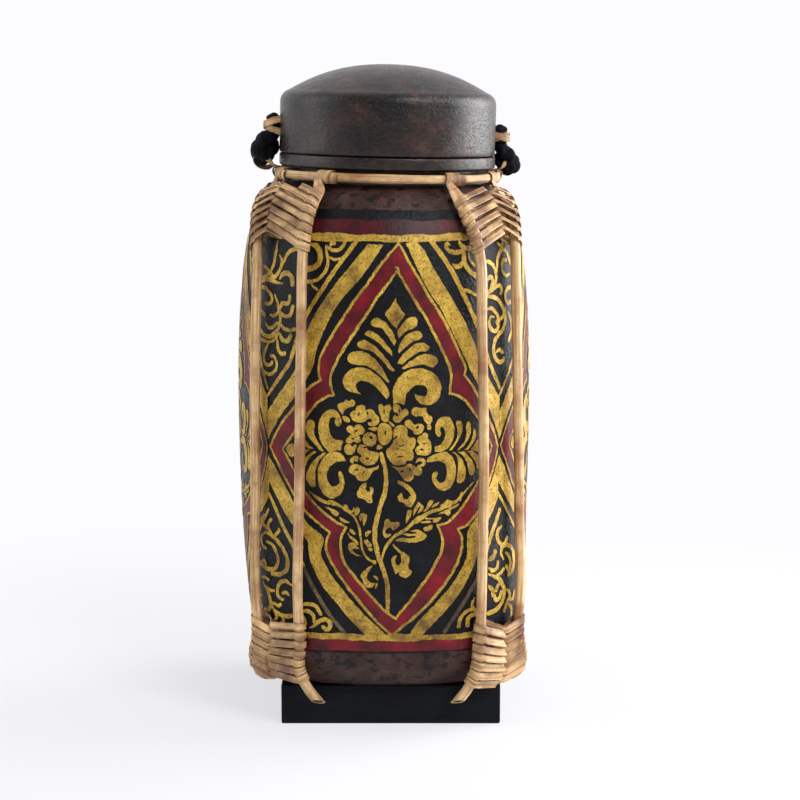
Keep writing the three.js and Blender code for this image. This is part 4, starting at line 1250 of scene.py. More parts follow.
figure([(-28.3, 124.9, 1), (-31, 123.5), (-34.5, 120.3), (-37, 116.5), (-37.8, 113.4), (-36.8, 110.7),
        (-35, 109.2), (-33.4, 109.8), (-33.4, 113), (-33, 117), (-31.3, 121), (-28.6, 124, 1)])
figure([(-32.4, 124.9, 1), (-35, 122.8), (-37.5, 119.8), (-39, 116.4), (-40.4, 117), (-39.4, 120.4),
        (-37, 123), (-34, 125.1, 1)])
figure([(-35.6, 125.3, 1), (-38, 123.6), (-40, 120.8), (-41.6, 121.6), (-40.4, 124), (-38.6, 125.5, 1)])
figure([(-49, 124.4, 1), (-46.5, 127), (-43.6, 126.8), (-40.8, 125.2, 1), (-43.6, 122.2), (-46.5, 121.6)])
figure([(-19, 121.4, 1), (-20, 123.5), (-22, 125.2), (-24.5, 125.5), (-27.5, 124.2), (-30, 121.5),
        (-31.8, 117.5), (-32.1, 113), (-31, 109), (-28.5, 106), (-25.5, 105.1), (-22.5, 106.4),
        (-20.4, 109.5), (-20, 113), (-20.8, 116.5), (-21.9, 117.1), (-22.6, 116.2), (-22.1, 114),
        (-22.2, 112), (-23.4, 110.8), (-25.5, 110.5), (-27.3, 112.5), (-27.7, 115.5), (-26.2, 118.8),
        (-23, 121), (-20.5, 121.6)])

# Stem, buds and leaves

line([(-3.9, 125.2), (-3.2, 122.5), (-2.4, 119.8)], 1.9, 0.8, 0.8)
line([(-2.1, 118.2), (-1.8, 113), (-2.5, 108), (-4.5, 102), (-6, 96), (-6.8, 91), (-6.3, 86), (-5, 80),
      (-3, 74.5), (-1.6, 69), (-1.2, 64), (-1.2, 55.4)], 2.0, 0.9, 0.85)
figure([(-14.4, 107), (-13.8, 109.5), (-12.5, 111.5), (-10.4, 112.8, 1), (-10.2, 111.4), (-10.6, 110),
        (-9.6, 108.7), (-8.4, 109.2), (-8.7, 110.6), (-7.6, 110.6), (-7.2, 109), (-8, 107), (-7.7, 105),
        (-8.1, 103.8), (-9.5, 103.8), (-10.6, 105.2), (-12, 105.8), (-13.6, 106)])
line([(3.7, 112.8), (6.5, 111.3), (9, 108.8), (10.2, 106.3), (9.4, 104)], 1.9, 0.8, 1)
figure([(4.6, 108.4), (3.2, 106.6), (4, 104.5), (5.8, 103.8), (7, 102.3), (9, 102), (10.2, 103.5),
        (10.5, 106), (9.5, 107.4), (8.3, 106.5), (7.3, 105.4), (5.6, 105.6), (5.2, 107.4)])
figure([(-3.4, 91.5), (-2.8, 94), (-2.2, 96.5), (-1, 97), (0, 95.8), (2, 95.7), (3.7, 95.5), (4, 94),
        (3, 93), (1.3, 92), (0.3, 93), (-1, 93), (-2, 92), (-2.3, 90.8), (-1, 90.5), (0.2, 90.3),
        (-0.5, 89.2), (-2, 88.6), (-3, 89.8)])
line([(1.1, 85.8), (3, 83.6), (5.2, 81.8)], 1.0, 0.5, 1)
figure([(4.2, 83, 1), (6.5, 82), (8.2, 80.5), (8.4, 78.5), (7.9, 76.5), (8.3, 75), (9.3, 73.5), (8.6, 72),
        (6.5, 71), (4.3, 72), (3.5, 73.8), (2.5, 72.9), (1.5, 74.5), (0.7, 77), (0.5, 79), (1.5, 80.8),
        (2.9, 81.1, 1), (2.3, 79.4), (2.2, 77.8), (2.9, 76.7), (4.2, 77), (4.8, 78.4), (4.7, 80.5)])
figure([(-7.7, 76.5, 1), (-10, 75.5), (-12, 73.8), (-13.3, 71.5), (-12.1, 70), (-11.5, 68), (-10, 66.7),
        (-8.3, 67), (-6.7, 68.9, 1), (-9, 68.9), (-10, 70.2), (-10, 72.5), (-9, 74.5)])
line([(-7.4, 72.1), (-6.2, 71.2), (-5.6, 70.2)], 1.0)
line([(-5.8, 68.8), (-6.5, 66.7)], 1.0)
line([(-3.8, 79), (-2.8, 83), (-0.5, 87), (2.5, 89.8), (6, 91.8), (9.5, 94.5), (13, 97), (17, 99.2),
      (22, 100.3), (27, 101.8), (31, 104), (35, 107.5), (38.8, 110.3)], 1.35, 0.7, 0.4)
figure([(6.5, 92.3, 1), (9, 95.5), (12, 97.8), (15.5, 98.8), (18.5, 99.3, 1), (15.5, 97.3), (13, 95.5),
        (10.5, 94.3)])
for leaflet in [
    [(6.7, 94.6, 1), (6.9, 97.5), (7.3, 100.2), (9.3, 100.6), (8.8, 98), (7.6, 95.8)],
    [(9.8, 97.8, 1), (10.2, 101), (12, 103.8), (12.9, 103.2), (11.8, 100.8), (10.5, 98.8)],
    [(11.7, 99.2, 1), (12.8, 101.5), (13, 103.3), (14.4, 101.9), (14.2, 100.6)],
    [(14.4, 99.6, 1), (16, 102), (17.2, 104.4), (18.8, 104.2), (17.5, 101.8), (15.8, 100)],
    [(17.7, 101.1, 1), (19.5, 103), (21.7, 103.4), (20.3, 101.8)],
    [(21.5, 101.7, 1), (23.8, 102.8), (25, 104), (28, 103.4), (30.8, 104, 1), (29.5, 103), (26.5, 102),
     (23.5, 101.5)],
    [(30.8, 103.9, 1), (31.8, 106), (33, 107), (32.6, 104.5), (31.8, 102.8)],
    [(20.9, 98.3, 1), (24, 98.3), (26, 97.2), (27.1, 98.8), (25.5, 99.8), (22.5, 99)],
    [(26, 99.4, 1), (29, 100.2), (31, 101.3), (31.1, 102.3), (28.5, 101.1), (26, 100.4)],
    [(15, 97.1, 1), (19, 96.7), (22.6, 96.9), (20.5, 94.8), (18.4, 95), (19, 96), (15.2, 96.4)],
    [(13, 94.9, 1), (15.5, 94.7), (18, 94.8), (17.5, 95.5), (14, 95.6)],
    [(14.3, 92.6), (16, 93.3), (18.3, 93.8), (18, 92), (16, 91.3), (14.6, 91.8)],
    [(8.4, 91.7, 1), (12, 92), (14, 91), (15.8, 89.5), (14.8, 87.8), (12.5, 86.8), (9, 86.5), (5.5, 87),
     (2.1, 87.2, 1), (3.2, 88.3), (6.5, 88.5), (10.5, 88.6), (11, 89.2), (8, 89.5), (5.3, 89.9, 1),
     (6.5, 90.5), (10.5, 90.4), (11.6, 90.9), (10, 91.3)],
    [(-27.2, 104), (-25, 104.3), (-22.5, 102.8), (-21, 101.7), (-23, 101.9), (-25.5, 102.4)],
    [(-20.2, 102.6), (-19, 102.6), (-18, 100.9), (-16.8, 100.4), (-15.6, 101.9), (-15.9, 99.8), (-18, 99.4),
     (-20, 101)],
    [(-15, 101.5), (-14, 101.9), (-13.1, 100), (-14.8, 98.1), (-15.7, 99.5)],
    [(-13.6, 97.5), (-12.8, 99.2), (-11.3, 99.3), (-11.9, 97.5), (-12.8, 95.9)],
    [(-11.4, 98.9), (-10.1, 98.9), (-10.4, 96.5), (-11.6, 93.7, 1), (-12, 95.5)],
    [(-29.2, 101.5, 1), (-27, 101.4), (-25.5, 100.7), (-24, 100.2), (-22.3, 98.8), (-23.5, 97.6),
     (-25, 98.2), (-26.3, 99.8)],
    [(-22.2, 97.2), (-20, 96.4), (-17.4, 95.3, 1), (-19.5, 94.9), (-21.6, 95.8)],
    [(-17.4, 92.4), (-16, 91.9), (-14.9, 90.1, 1), (-16, 90), (-17.6, 91.3)],
    [(-18.4, 91.1), (-17.3, 89.4), (-15, 88.1), (-13.9, 86.4), (-14.3, 85.5), (-16, 87.2), (-18, 88.9)],
    [(-18.4, 84), (-18, 86.1), (-16.5, 86.6), (-15, 85.6), (-13.6, 83.6, 1), (-15.5, 84), (-16.3, 83),
     (-14.8, 81.6), (-12.6, 80.6, 1), (-15, 80.9), (-17.1, 82)],
    [(-10.9, 91), (-9.8, 91.9), (-8.2, 91.6), (-9, 90.3), (-10.4, 89.1)],
    [(-11.3, 87.8), (-10, 88.1), (-8.7, 86.6), (-8, 85.5), (-9.8, 84.5), (-10.9, 86)],
    [(-9.9, 83.8), (-8.3, 84.4), (-7.7, 83.5), (-9, 82.7)],
]:
    figure(leaflet)
line([(-36.2, 107.2), (-33, 105.1), (-30, 103.8), (-27, 103.1), (-24, 102.9), (-21.8, 102.1), (-20, 101)],
     1.4)
line([(-20.6, 100.9), (-17, 99), (-15, 96.5), (-13.5, 93), (-12.8, 88.5), (-12.3, 84), (-11, 81), (-9, 79),
      (-6.9, 78)], 0.9, 0.8, 1)
add(ball(-7, 78.1, 1.0))

# Scrolls in the spandrels and on the corners: points and a width

SCROLLS = [
    ([(-29.6, 212.6), (-27, 211), (-24, 211), (-21.6, 212.4), (-20.9, 214.4)], 1.7),
    ([(-27.7, 212.6), (-27, 214.3), (-25.9, 213.8)], 1.8),
    ([(-28, 208.1), (-25, 207.1), (-22, 207.6), (-19.8, 209.4)], 1.2),
    ([(-30.2, 212.4), (-28.7, 208), (-28.3, 205), (-29.5, 201.6), (-32.5, 198.6), (-36, 197.5),
      (-39, 197.2)], 1.5),
    ([(-38, 213), (-34.4, 212), (-32.4, 209), (-32.4, 206), (-34.6, 203.6), (-38.4, 202.6)], 2.5),
    ([(-36.4, 196.8), (-34.6, 195.2), (-32.9, 194.1)], 1.1),
    ([(28.3, 213), (27.2, 213.8), (26.6, 212.2), (28, 210.4), (31, 209.6), (35, 210)], 2.0),
    ([(33.6, 214.6), (34.4, 212.6), (37.4, 211.2), (41, 211)], 2.1),
    ([(36.2, 211.2), (35.6, 207.5), (36.2, 204), (38.2, 201.5), (41.4, 199.3)], 2.2),
    ([(29.4, 204.6), (31, 203.6), (33.4, 204), (35.6, 206)], 2.0),
    ([(38.4, 209.4), (39, 206), (41, 203.6)], 1.3),
    ([(33.4, 193.6), (37, 193), (41.4, 190.8)], 1.5),
    ([(-35.2, 47.9), (-33, 49.4), (-31, 51.4), (-28.6, 52), (-26.8, 50.6), (-26.9, 48.4), (-28.6, 47.4),
      (-29.6, 48.4)], 1.9),
    ([(-38.6, 57.8), (-35, 58.5), (-32.4, 57.3), (-30.8, 54.4)], 1.7),
    ([(-39, 55.2), (-35.4, 55), (-33.8, 53), (-33.6, 50.6)], 1.7),
    ([(-40, 53.6), (-38, 52), (-37.6, 49.4)], 1.5),
    ([(38.6, 55), (35, 55.5), (32, 54), (30.4, 51), (30.2, 48.4)], 1.6),
    ([(38.6, 52.8), (35.6, 53), (34, 51.2), (34, 48.8)], 1.8),
    ([(40, 50.8), (38.2, 50.6), (37.6, 49.6)], 1.6),
    ([(37, 60.6), (36, 58), (37, 55), (38.4, 51.6)], 1.2),
]
CORNER_SCROLLS = [
    # left corner, over its gold point
    ([(-43, 211), (-47, 210.4), (-50.6, 208.4), (-52.4, 205)], 1.8),
    ([(-58.4, 213), (-58.6, 207), (-59.4, 203), (-62, 199.6), (-66, 197.2), (-70, 196.6)], 1.9),
    ([(-66.6, 202.4), (-63.6, 201.4), (-61, 199.6), (-58, 197.6)], 1.6),
    ([(-55.6, 207.4), (-53.6, 205), (-54.4, 201.5), (-57.4, 198.4), (-62, 197)], 1.8),
    ([(-52, 195.7), (-57, 196), (-62, 196.6), (-69, 195.2)], 1.5),
    ([(-54, 197.6), (-52.4, 199.8), (-49.6, 200.2), (-47, 198.8), (-46.2, 195.6)], 2.2),
    ([(-69, 193.2), (-64, 193), (-60.2, 191), (-58.4, 188.4), (-60, 186.5), (-63, 186.6)], 1.7),
    ([(-56.6, 190.6), (-54.2, 186.4), (-52.6, 182), (-52.7, 178), (-54.8, 174.8), (-58.4, 172.6),
      (-62.4, 172.5), (-66.4, 174.6), (-70, 178)], 1.9),
    ([(-53, 184.6), (-51.6, 187.4), (-49, 187.2), (-47.4, 188.6), (-47.4, 190.4)], 1.9),
    ([(-52.6, 183.6), (-49.8, 182), (-46.6, 182.6), (-45.2, 186.4)], 1.8),
    ([(-52.2, 178.6), (-49.6, 176.5), (-46.4, 176), (-44, 176.8)], 1.6),
    ([(-52.6, 174.4), (-50.6, 171.7), (-47.4, 171.5), (-46, 174)], 2.0),
    ([(-59.6, 181.6), (-56.4, 181.5), (-53.6, 183.4)], 1.5),
    ([(-62.4, 178), (-60.2, 176.2), (-57, 176.6), (-54.4, 178.6)], 1.5),
    ([(-70, 183.2), (-66.4, 183), (-63, 181.2)], 1.7),
    ([(-70, 172.6), (-65, 170.6), (-60, 170), (-56, 171.2), (-53.6, 174)], 1.5),
    ([(-59.6, 169.6), (-62, 166), (-63, 162.6), (-61.4, 160.2), (-58.4, 160.2), (-57, 161.4)], 1.8),
    ([(-65.6, 163.6), (-65.2, 159.4), (-62.4, 156.6), (-58.2, 156), (-55, 157.8), (-54, 161),
      (-55.6, 163.8), (-58, 164.2)], 1.5),
    ([(-54, 171.4), (-53.4, 168), (-51.4, 165.6), (-49.2, 166)], 1.8),
    # left corner, under its gold point
    ([(-59.4, 82.6), (-56, 82.2), (-52.6, 79.2), (-51.2, 75), (-52.6, 72), (-56, 70.9), (-60, 71.5),
      (-64, 73.2), (-67.4, 76.4)], 1.9),
    ([(-63.4, 84), (-61, 86), (-57, 86), (-52, 83.6), (-48, 80), (-46, 76), (-46.5, 72.4), (-49.2, 70),
      (-54.4, 69.4)], 1.9),
    ([(-63.3, 84.6), (-63.2, 82), (-61.6, 80.2), (-59.4, 79.6)], 1.5),
    ([(-56, 86), (-58.6, 88.4), (-59.2, 90.8), (-57.4, 92.2)], 1.6),
    ([(-58.6, 88.2), (-62, 89), (-64.4, 91), (-63, 93.2)], 1.7),
    ([(-54.8, 85.8), (-53.2, 87), (-52, 88.6)], 1.7),
    ([(-68.4, 76.6), (-65.4, 77), (-63.8, 78.2)], 1.5),
    ([(-62.4, 73), (-60.4, 74.2), (-58.8, 73)], 1.4),
    ([(-61.4, 66.6), (-59, 66.8), (-56.6, 66)], 1.4),
    ([(-60.4, 64.2), (-57.4, 61.2), (-55.6, 58), (-55.2, 55.4), (-56.4, 53), (-59.4, 51.8)], 2.0),
    ([(-59, 63), (-56, 62), (-53, 62)], 1.5),
    ([(-55.4, 55.6), (-53, 56.4), (-50.4, 55.4), (-49.4, 56.6)], 1.5),
    ([(-55, 55.2), (-52.4, 53), (-48.4, 51.6), (-43.6, 52.2)], 1.8),
    ([(-52.8, 52.6), (-51.6, 50.4), (-53.2, 48.8)], 1.6),
    ([(-48.6, 51.8), (-48, 49.2), (-49.6, 47.8)], 1.6),
    ([(-61.4, 58.4), (-64.4, 56.6), (-64, 54), (-61.6, 53.4)], 1.5),
    ([(-43.6, 65.8), (-47, 67.4), (-50, 65.6), (-51.2, 62), (-50.2, 59.6), (-48.2, 59)], 1.7),
    ([(-44.8, 61.2), (-46.8, 62.4), (-48.2, 61.8)], 1.4),
    # right corner, over its gold point
    ([(46.6, 205), (50.4, 204.7), (53.6, 202.6), (54.7, 199), (54, 196), (51.4, 193), (47.6, 191.4)], 1.9),
    ([(48.8, 197), (50.6, 198.4), (52, 196.6), (50.6, 193.4)], 1.9),
    ([(50.2, 192), (53, 193.5), (56.4, 194.2), (58.3, 192.6), (57.2, 190.8)], 1.8),
    ([(46.6, 190.2), (51, 189.7), (55, 188), (58, 184.6), (58.7, 181.4), (56.8, 180)], 1.9),
    ([(46.4, 184.6), (50, 184.8), (53, 182.4), (55, 179)], 1.8),
    ([(51.6, 181), (49.4, 181), (48.2, 178.8), (49.2, 176), (52, 174.8), (54.2, 176.6), (53.2, 179)], 1.8),
    ([(60, 184), (59.8, 179), (57.4, 175), (53.4, 172.6), (51.1, 170), (50.5, 166), (52, 162.6),
      (55.2, 161), (57.8, 162)], 2.0),
    ([(52.4, 165.6), (54.4, 166.6), (56.8, 165)], 1.6),
    ([(55.4, 200), (57.4, 206), (61.4, 209.4), (65.6, 208), (68, 203)], 2.0),
    ([(66, 198.6), (62.4, 198), (60, 200.4), (61, 204.2), (64.4, 204.8)], 1.8),
    ([(58.6, 212.6), (60.6, 211), (64, 212.4)], 1.7),
    ([(68, 192), (63.6, 192.6), (60.8, 189.6), (62, 186.2), (65, 186.2)], 1.8),
    ([(62, 182), (64.6, 178), (64.4, 173), (61.8, 170)], 1.8),
    # right corner, under its gold point
    ([(54.6, 89), (52.4, 88), (51.1, 85.4), (52, 82.4), (55, 81), (58, 83.2)], 2.0),
    ([(53.8, 74.8), (52.5, 77.6), (54, 80.4), (58, 80.2), (61.5, 77.6), (62.3, 73), (60.6, 69),
      (57, 67.4)], 2.2),
    ([(55.8, 77.2), (58.2, 75.2), (58.8, 71.8), (57.2, 69.4), (55.6, 71.4)], 1.9),
    ([(44.6, 75.8), (47.6, 77), (48.8, 79)], 2.1),
    ([(44.6, 72.4), (47, 71), (49.4, 72), (50, 74.2)], 1.7),
    ([(44.6, 69.6), (48, 68.2), (51, 66), (52.9, 62), (52.4, 58), (50, 55), (47, 53.4), (43.6, 52.8)], 2.1),
    ([(48, 68.4), (51, 69), (53.6, 70.6)], 1.6),
    ([(51.4, 65.4), (49.4, 64.2), (48, 62.2)], 1.7),
    ([(47.2, 60.2), (47.4, 58.4), (49.6, 58.2), (51.2, 60.8)], 2.0),
    ([(43.8, 65), (45.8, 63), (46.4, 60.2)], 1.8),
    ([(54.2, 61.2), (56.6, 60.2), (57, 57.8), (55, 55.6), (53.2, 52.2)], 1.9),
    ([(56, 57), (59.6, 56), (61.2, 59)], 1.7),
    ([(56, 55), (58.4, 52), (58.6, 49)], 1.6),
]
for points, width in SCROLLS:
    line(points, width, 0.5, 1.0)
FIRST_CORNER_SCROLL = len(FIGURES["gold"])
for points, width in CORNER_SCROLLS:
    line(points, width, 0.5, 1.0)

# Layers of paint: name, height over the basket, material and roughness of the brushed edges
LAYERS = [
    ("red", RED_LIFT, RED_PAINT, 0.2),
    ("gold", GOLD_LIFT, GOLD_PAINT, 0.3),
    ("worn_gold", GOLD_LIFT, WORN_PAINT, 0.2),
]
SIDE_REACH = 61
SEED_STEP = 3.7

# Figures of one layer stand at slightly different heights, so that they don't flicker where they overlap
LIFT_STEP = 0.0012
LIFT_COUNT = 40


def paint_face(face, azimuth):
    wide = face in WIDE_FACES
    scale = 1 if wide else SIDE_FACE_SCALE
    for layer, lift, material, rough in LAYERS:
        builder = Builder()
        for i, (outline, holes) in enumerate(FIGURES[layer]):
            past_side = max(abs(p.x + body_lean(p.y)) for p in outline) > SIDE_REACH
            if not wide and (past_side or layer == "gold" and i >= FIRST_CORNER_SCROLL):
                continue
            verts, faces = filled(outline, holes, i * SEED_STEP + azimuth, rough)
            height = lift + LIFT_STEP * (i % LIFT_COUNT)
            row = [(painted_point(azimuth, scale, p.x, p.y, height), (p.x + azimuth, p.y)) for p in verts]
            first = builder.add_row(row)
            builder.faces += [(first + a, first + b, first + c) for a, b, c in faces]
        builder.make(f"painted_{layer}_{face}", "box", material)


for face, azimuth, _ in FACES:
    paint_face(face, azimuth)


# Rings of colour round the basket above and below its panels: name, heights, lift, material, wave and seed

RINGS = [
    ("red_ring_low", RED_BAND_LOW, RED_LIFT, RED_PAINT, 0.8, 1.0),
    # The upper ring takes the darker red, which is partly painted shade
    ("red_ring_high", RED_BAND_HIGH, RED_LIFT, SHADED_RED_PAINT, 0.8, 21.0),
    ("gold_ring_low", GOLD_LINE_LOW, GOLD_LIFT, GOLD_PAINT, 0.9, 41.0),
    ("gold_ring_high", GOLD_LINE_HIGH, GOLD_LIFT, GOLD_PAINT, 0.9, 61.0),
]
RING_SEGMENTS = 720
RING_SHARES = (0, 0.35, 0.65, 1)
RING_WAVES = 5


def painted_ring(name, heights, lift, material, wave, seed):
    rows = []
    for share in RING_SHARES:
        row = []
        for k in range(RING_SEGMENTS + 1):
            azimuth = -math.pi + 2 * math.pi * (k % RING_SEGMENTS) / RING_SEGMENTS
            around = polar(RING_WAVES, azimuth, seed + 9 * round(share))
            z = lerp(*heights, share) + wave * (noise.noise(around) + 0.5 * noise.noise(around * 4))
            row.append((off_basket(azimuth, z, lift), (azimuth * BELLY_HALF, z)))
        rows.append(row)
    ring = Builder()
    ring.grid(rows)
    ring.make(f"painted_{name}", "box", material)


for ring_values in RINGS:
    painted_ring(*ring_values)


# Rods with their pared ends wound on the hoop

# Where the front rods really stand: X at heights on the belly, then the way that their top is off to the side
ROD_LINES = {
    ("front", -1): ([40, 57, 203], [-38.6, -39.3, -36.4], 2.0),
    ("front", 1): ([40, 57, 112, 143, 203], [39.6, 40.3, 41.3, 40.8, 39.4], 0.0),
    ("left", 1): ([40, 57, 150, 205], [-57.2, -58.6, -58.2, -56.6], 0.0),
    ("right", -1): ([40, 57, 112, 150, 205], [56.6, 58.2, 57.4, 56.4, 55.2], 0.0),
}
LINE_FROM_Z = 40
LINE_TO_Z = 206
SIDE_END_DROP = 1.0
MOST_DRIFT = 0.25


def rod_drift(key, angle, z):
    """How far a rod turns from its angle to stand on its own line."""
    if key not in ROD_LINES:
        return 0.0
    heights, places, top = ROD_LINES[key]
    on_line = clamp(z, LINE_FROM_Z, LINE_TO_Z)
    x = float(np.interp(on_line, heights, places))
    turned = find_crossing(
        angle - MOST_DRIFT, angle + MOST_DRIFT, lambda a: warp(off_basket(a, on_line, ROD_STAND)).x < x
    )
    if z < LINE_FROM_Z:
        return (turned - angle) * smoothstep(z, FOOT_Z, LINE_FROM_Z)
    top_z = FOOT_Z + NECK_RISE - ROD_TOP_DROP
    return lerp(turned - angle, top / BELLY_HALF, smoothstep(z, LINE_TO_Z, top_z))


def rod_curve(face, azimuth, top_angle, turn):
    """The line of one rod, from its free end under the foot to its top at the neck."""
    end_drop = ROD_END_DROP if face in WIDE_FACES else SIDE_END_DROP
    out = PLINTH_SIDE / 2 + ROD_END_OUT
    points = []
    for aside, outward, rise in (
        (0, 0, -end_drop),
        (ROD_BEND_ASIDE, ROD_BEND_OUT, ROD_BEND_RISE),
        (ROD_HEEL_ASIDE, ROD_HEEL_OUT, ROD_HEEL_RISE),
    ):
        points.append(on_face(azimuth, turn * (ROD_END_ASIDE + aside), out + outward, FOOT_Z + rise))
    top_rise = NECK_RISE - ROD_TOP_DROP
    for rise in [share * NECK_RISE for share in ROD_SHARES] + [top_rise]:
        lean = smoothstep(rise, ROD_LEAN_SHARE * NECK_RISE, top_rise)
        angle = math.radians(azimuth + turn * lerp(ROD_ANGLE, top_angle, lean))
        angle += rod_drift((face, turn), angle, FOOT_Z + rise)
        points.append(off_basket(angle, FOOT_Z + rise, ROD_STAND))
    return Curve(points)


STRIP_POWER = 3.2
STRAP_WIDTH = 6.4
STRAP_THICKNESS = 1.1
WRAP_WIDTH = 3.7
WRAP_THICKNESS = 0.9
WRAP_TURNS = 2.2
WRAP_PITCH = 3.5
WRAP_GAP = 0.15
WRAP_START = math.radians(-25)
WRAP_STEPS = 26
PARED_LENGTH = 17
PARED_IN = 0.7
ROD_STEPS = 230
NODE_SWELL = 0.32
NODE_PINCH = 0.14
END_CUT = 1.7

# Of the rod's first rows, which its oblique cut passes through, only one is kept
END_ROW = 2
FIRST_ROW_PAST_CUT = 9

# The bridge between the rod's top and the wrap belongs to the rod for its first rows
BRIDGE_STEPS = 9
ROD_BRIDGE_ROWS = 4
JOIN_BACK = 8
JOIN_AHEAD = 3
JOIN_STEPS = 12
ROD_SIDES = 20
WRAP_SIDES = 16
FIRST_ROD_SEED = 0.4
ROD_SEED_STEP = 1.7
ROD_SEED_SCALE = 31


def rod_size(along, seed, nodes):
    """The thickness of a cane, which swells a little at its nodes and is pinched above them."""
    size = ROD_THICKNESS * (1 + 0.025 * math.sin(along * 0.06 + seed) + 0.012 * math.sin(along * 0.33 + seed))
    for place in nodes:
        size += NODE_SWELL * math.exp(-(((along - place) / 0.9) ** 2))
        size -= NODE_PINCH * math.exp(-(((along - place - 2) / 1.2) ** 2))
    return size


def rod_and_wrap(name, curve, seed):
    top = curve.at(curve.length)
    azimuth = math.atan2(top.y, top.x)
    aside = Vector((-math.sin(azimuth), math.cos(azimuth), 0))
    outward = polar(1, azimuth, 0)
    nodes = [curve.length * (0.31 + 0.05 * math.sin(seed)), curve.length * (0.63 + 0.04 * math.cos(seed * 2))]
    stations = []
    for i in range(ROD_STEPS + 1):
        along = curve.length * i / ROD_STEPS
        size = rod_size(along, seed, nodes)
        pared = smoothstep(along, curve.length - PARED_LENGTH, curve.length - 2)
        at = curve.at(along)
        at += basket_normal(azimuth, min(at.z, NECK_Z)) * (-PARED_IN * pared)
        width = lerp(size, STRAP_WIDTH, pared)
        thickness = lerp(size, STRAP_THICKNESS, pared)
        stations.append(Station(at, aside, width, thickness, lerp(2.0, STRIP_POWER, pared)))
    bend = HOOP_THICKNESS / 2 + WRAP_GAP + WRAP_THICKNESS / 2
    tail = []
    for i in range(round(WRAP_TURNS * WRAP_STEPS) + 1):
        turn = WRAP_START + 2 * math.pi * i / WRAP_STEPS
        side = WRAP_PITCH * (i / WRAP_STEPS - 0.5 * WRAP_TURNS + 0.5)
        reach = HOOP_RADIUS + bend * math.cos(turn)
        at = polar(reach, azimuth + side / HOOP_RADIUS, HOOP_Z + bend * math.sin(turn))
        tail.append(Station(at, aside, WRAP_WIDTH, WRAP_THICKNESS, STRIP_POWER))
    last = stations[-1].at
    earlier = stations[-JOIN_BACK].at
    joined = Curve([earlier, last, tail[0].at, tail[JOIN_AHEAD].at], JOIN_STEPS)
    bridge = []
    for i in range(1, BRIDGE_STEPS):
        t = i / BRIDGE_STEPS
        at = joined.at((last - earlier).length + (tail[0].at - last).length * t)
        width = lerp(STRAP_WIDTH, WRAP_WIDTH, t)
        bridge.append(Station(at, aside, width, lerp(STRAP_THICKNESS, WRAP_THICKNESS, t), STRIP_POWER))
    rod = Builder()
    kept = [stations[END_ROW]] + stations[FIRST_ROW_PAST_CUT:] + bridge[:ROD_BRIDGE_ROWS]
    sweep(rod, kept, ROD_SIDES, seed * ROD_SEED_SCALE, outward * END_CUT)
    made = rod.make(f"cane_rod_{name}", "box", RATTAN_ROD)
    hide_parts(f"rod_{name}")
    wrap = Builder()
    sweep(wrap, bridge[ROD_BRIDGE_ROWS - 1:] + tail, WRAP_SIDES, seed * ROD_SEED_SCALE)
    made = wrap.make(f"cane_wrap_{name}", "box", RATTAN_STRIP)
    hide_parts(f"hoop_wrap_{name}")


rods = []
for i, (face, azimuth, top_angle) in enumerate(FACES):
    for turn, beside in ((-1, FACES[i - 1][0]), (1, FACES[(i + 1) % 4][0])):
        rods.append((f"{face}_{beside}", rod_curve(face, azimuth, top_angle, turn)))
for i, (name, curve) in enumerate(rods):
    rod_and_wrap(name, curve, i * ROD_SEED_STEP + FIRST_ROD_SEED)


# Lashings: one flat strip in a figure of eight round two rods

STRIP_FIT = 0.12
STRIP_SIDES = 12
LASHING_POWER = 3.4
FIRST_LASHING_SEED = 20
LASHING_SEED_SCALE = 17.0
TOP_LASHING_BELOW = 1.6
BOTTOM_LASHING_ABOVE = 4.0
BEND_STEPS = 15
ARM_STEPS = 25
BEND_TILT = 0.25
UNEVEN_LIFT = 0.3
UNEVEN_WIDTH = (0.9, 1.08)

# How fast an arm dives under the one that it crosses, and how long it stays on top
DIVE = 8.0
OVERLAP = 0.12

# Where an arm's tilt turns over as it dives, and where a bend faces backward
TILT_TURNS = (-0.55, -0.1)
BEHIND = -0.2

# Width, thickness, tilt, turns and pitch of the strip, how far its crossings stand toward the rod of the
# side face, and how much higher it runs outside the front rod, at the crossings and outside the other rod
TOP_LEFT = (3.5, 0.7, 20, 7, 3.85, 0.4, 0, 5.8, -2.5)
TOP_RIGHT = (3.1, 0.72, 22, 6, 4.4, 0.25, 0, 5.2, -2.5)
BOTTOM_LEFT = (3.3, 0.75, 26, 7, 4.2, 0.25, 0, -1.5, 4.2)
BOTTOM_RIGHT = (3.6, 0.75, 24, 7, 4.2, 0.15, 0.6, -5.0, 0.6)
TIES_AT = [
    (TOP_RIGHT, BOTTOM_RIGHT),
    (TOP_LEFT, BOTTOM_RIGHT),
    (TOP_RIGHT, BOTTOM_LEFT),
    (TOP_LEFT, BOTTOM_LEFT),
]


class Tie:
    """How one lashing is wound: its strip, its turns, and how high it runs at the rods and its crossings."""

    def __init__(self, values, front_rod_first):
        self.width, self.thickness, tilt, self.turns, self.pitch, crossing, *levels = values
        self.tilt = math.radians(tilt)
        self.crossing = crossing if front_rod_first else -crossing
        self.levels = levels if front_rod_first else levels[::-1]

    def lift(self, run, half, reach):
        return float(np.interp(run, [-reach, self.crossing * half, reach], self.levels))


def frame_at(rod_a, rod_b, length, shift, side):
    """Middle, half gap and axes between two rods, where side runs from -1 at the first to 1 at the second."""
    a, b = rod_a.at(length), rod_b.at(length + shift)
    up = (rod_a.tangent(length) * (1 - side) + rod_b.tangent(length + shift) * (1 + side)).normalized()
    chord = b - a
    out = chord.cross(up).normalized()
    middle = (a * (1 - side) + b * (1 + side)) * 0.5
    if out.x * middle.x + out.y * middle.y < 0:
        out.negate()
    along = up.cross(out)
    if along.dot(chord) < 0:
        along.negate()
    return middle, chord.length / 2, along, out, up


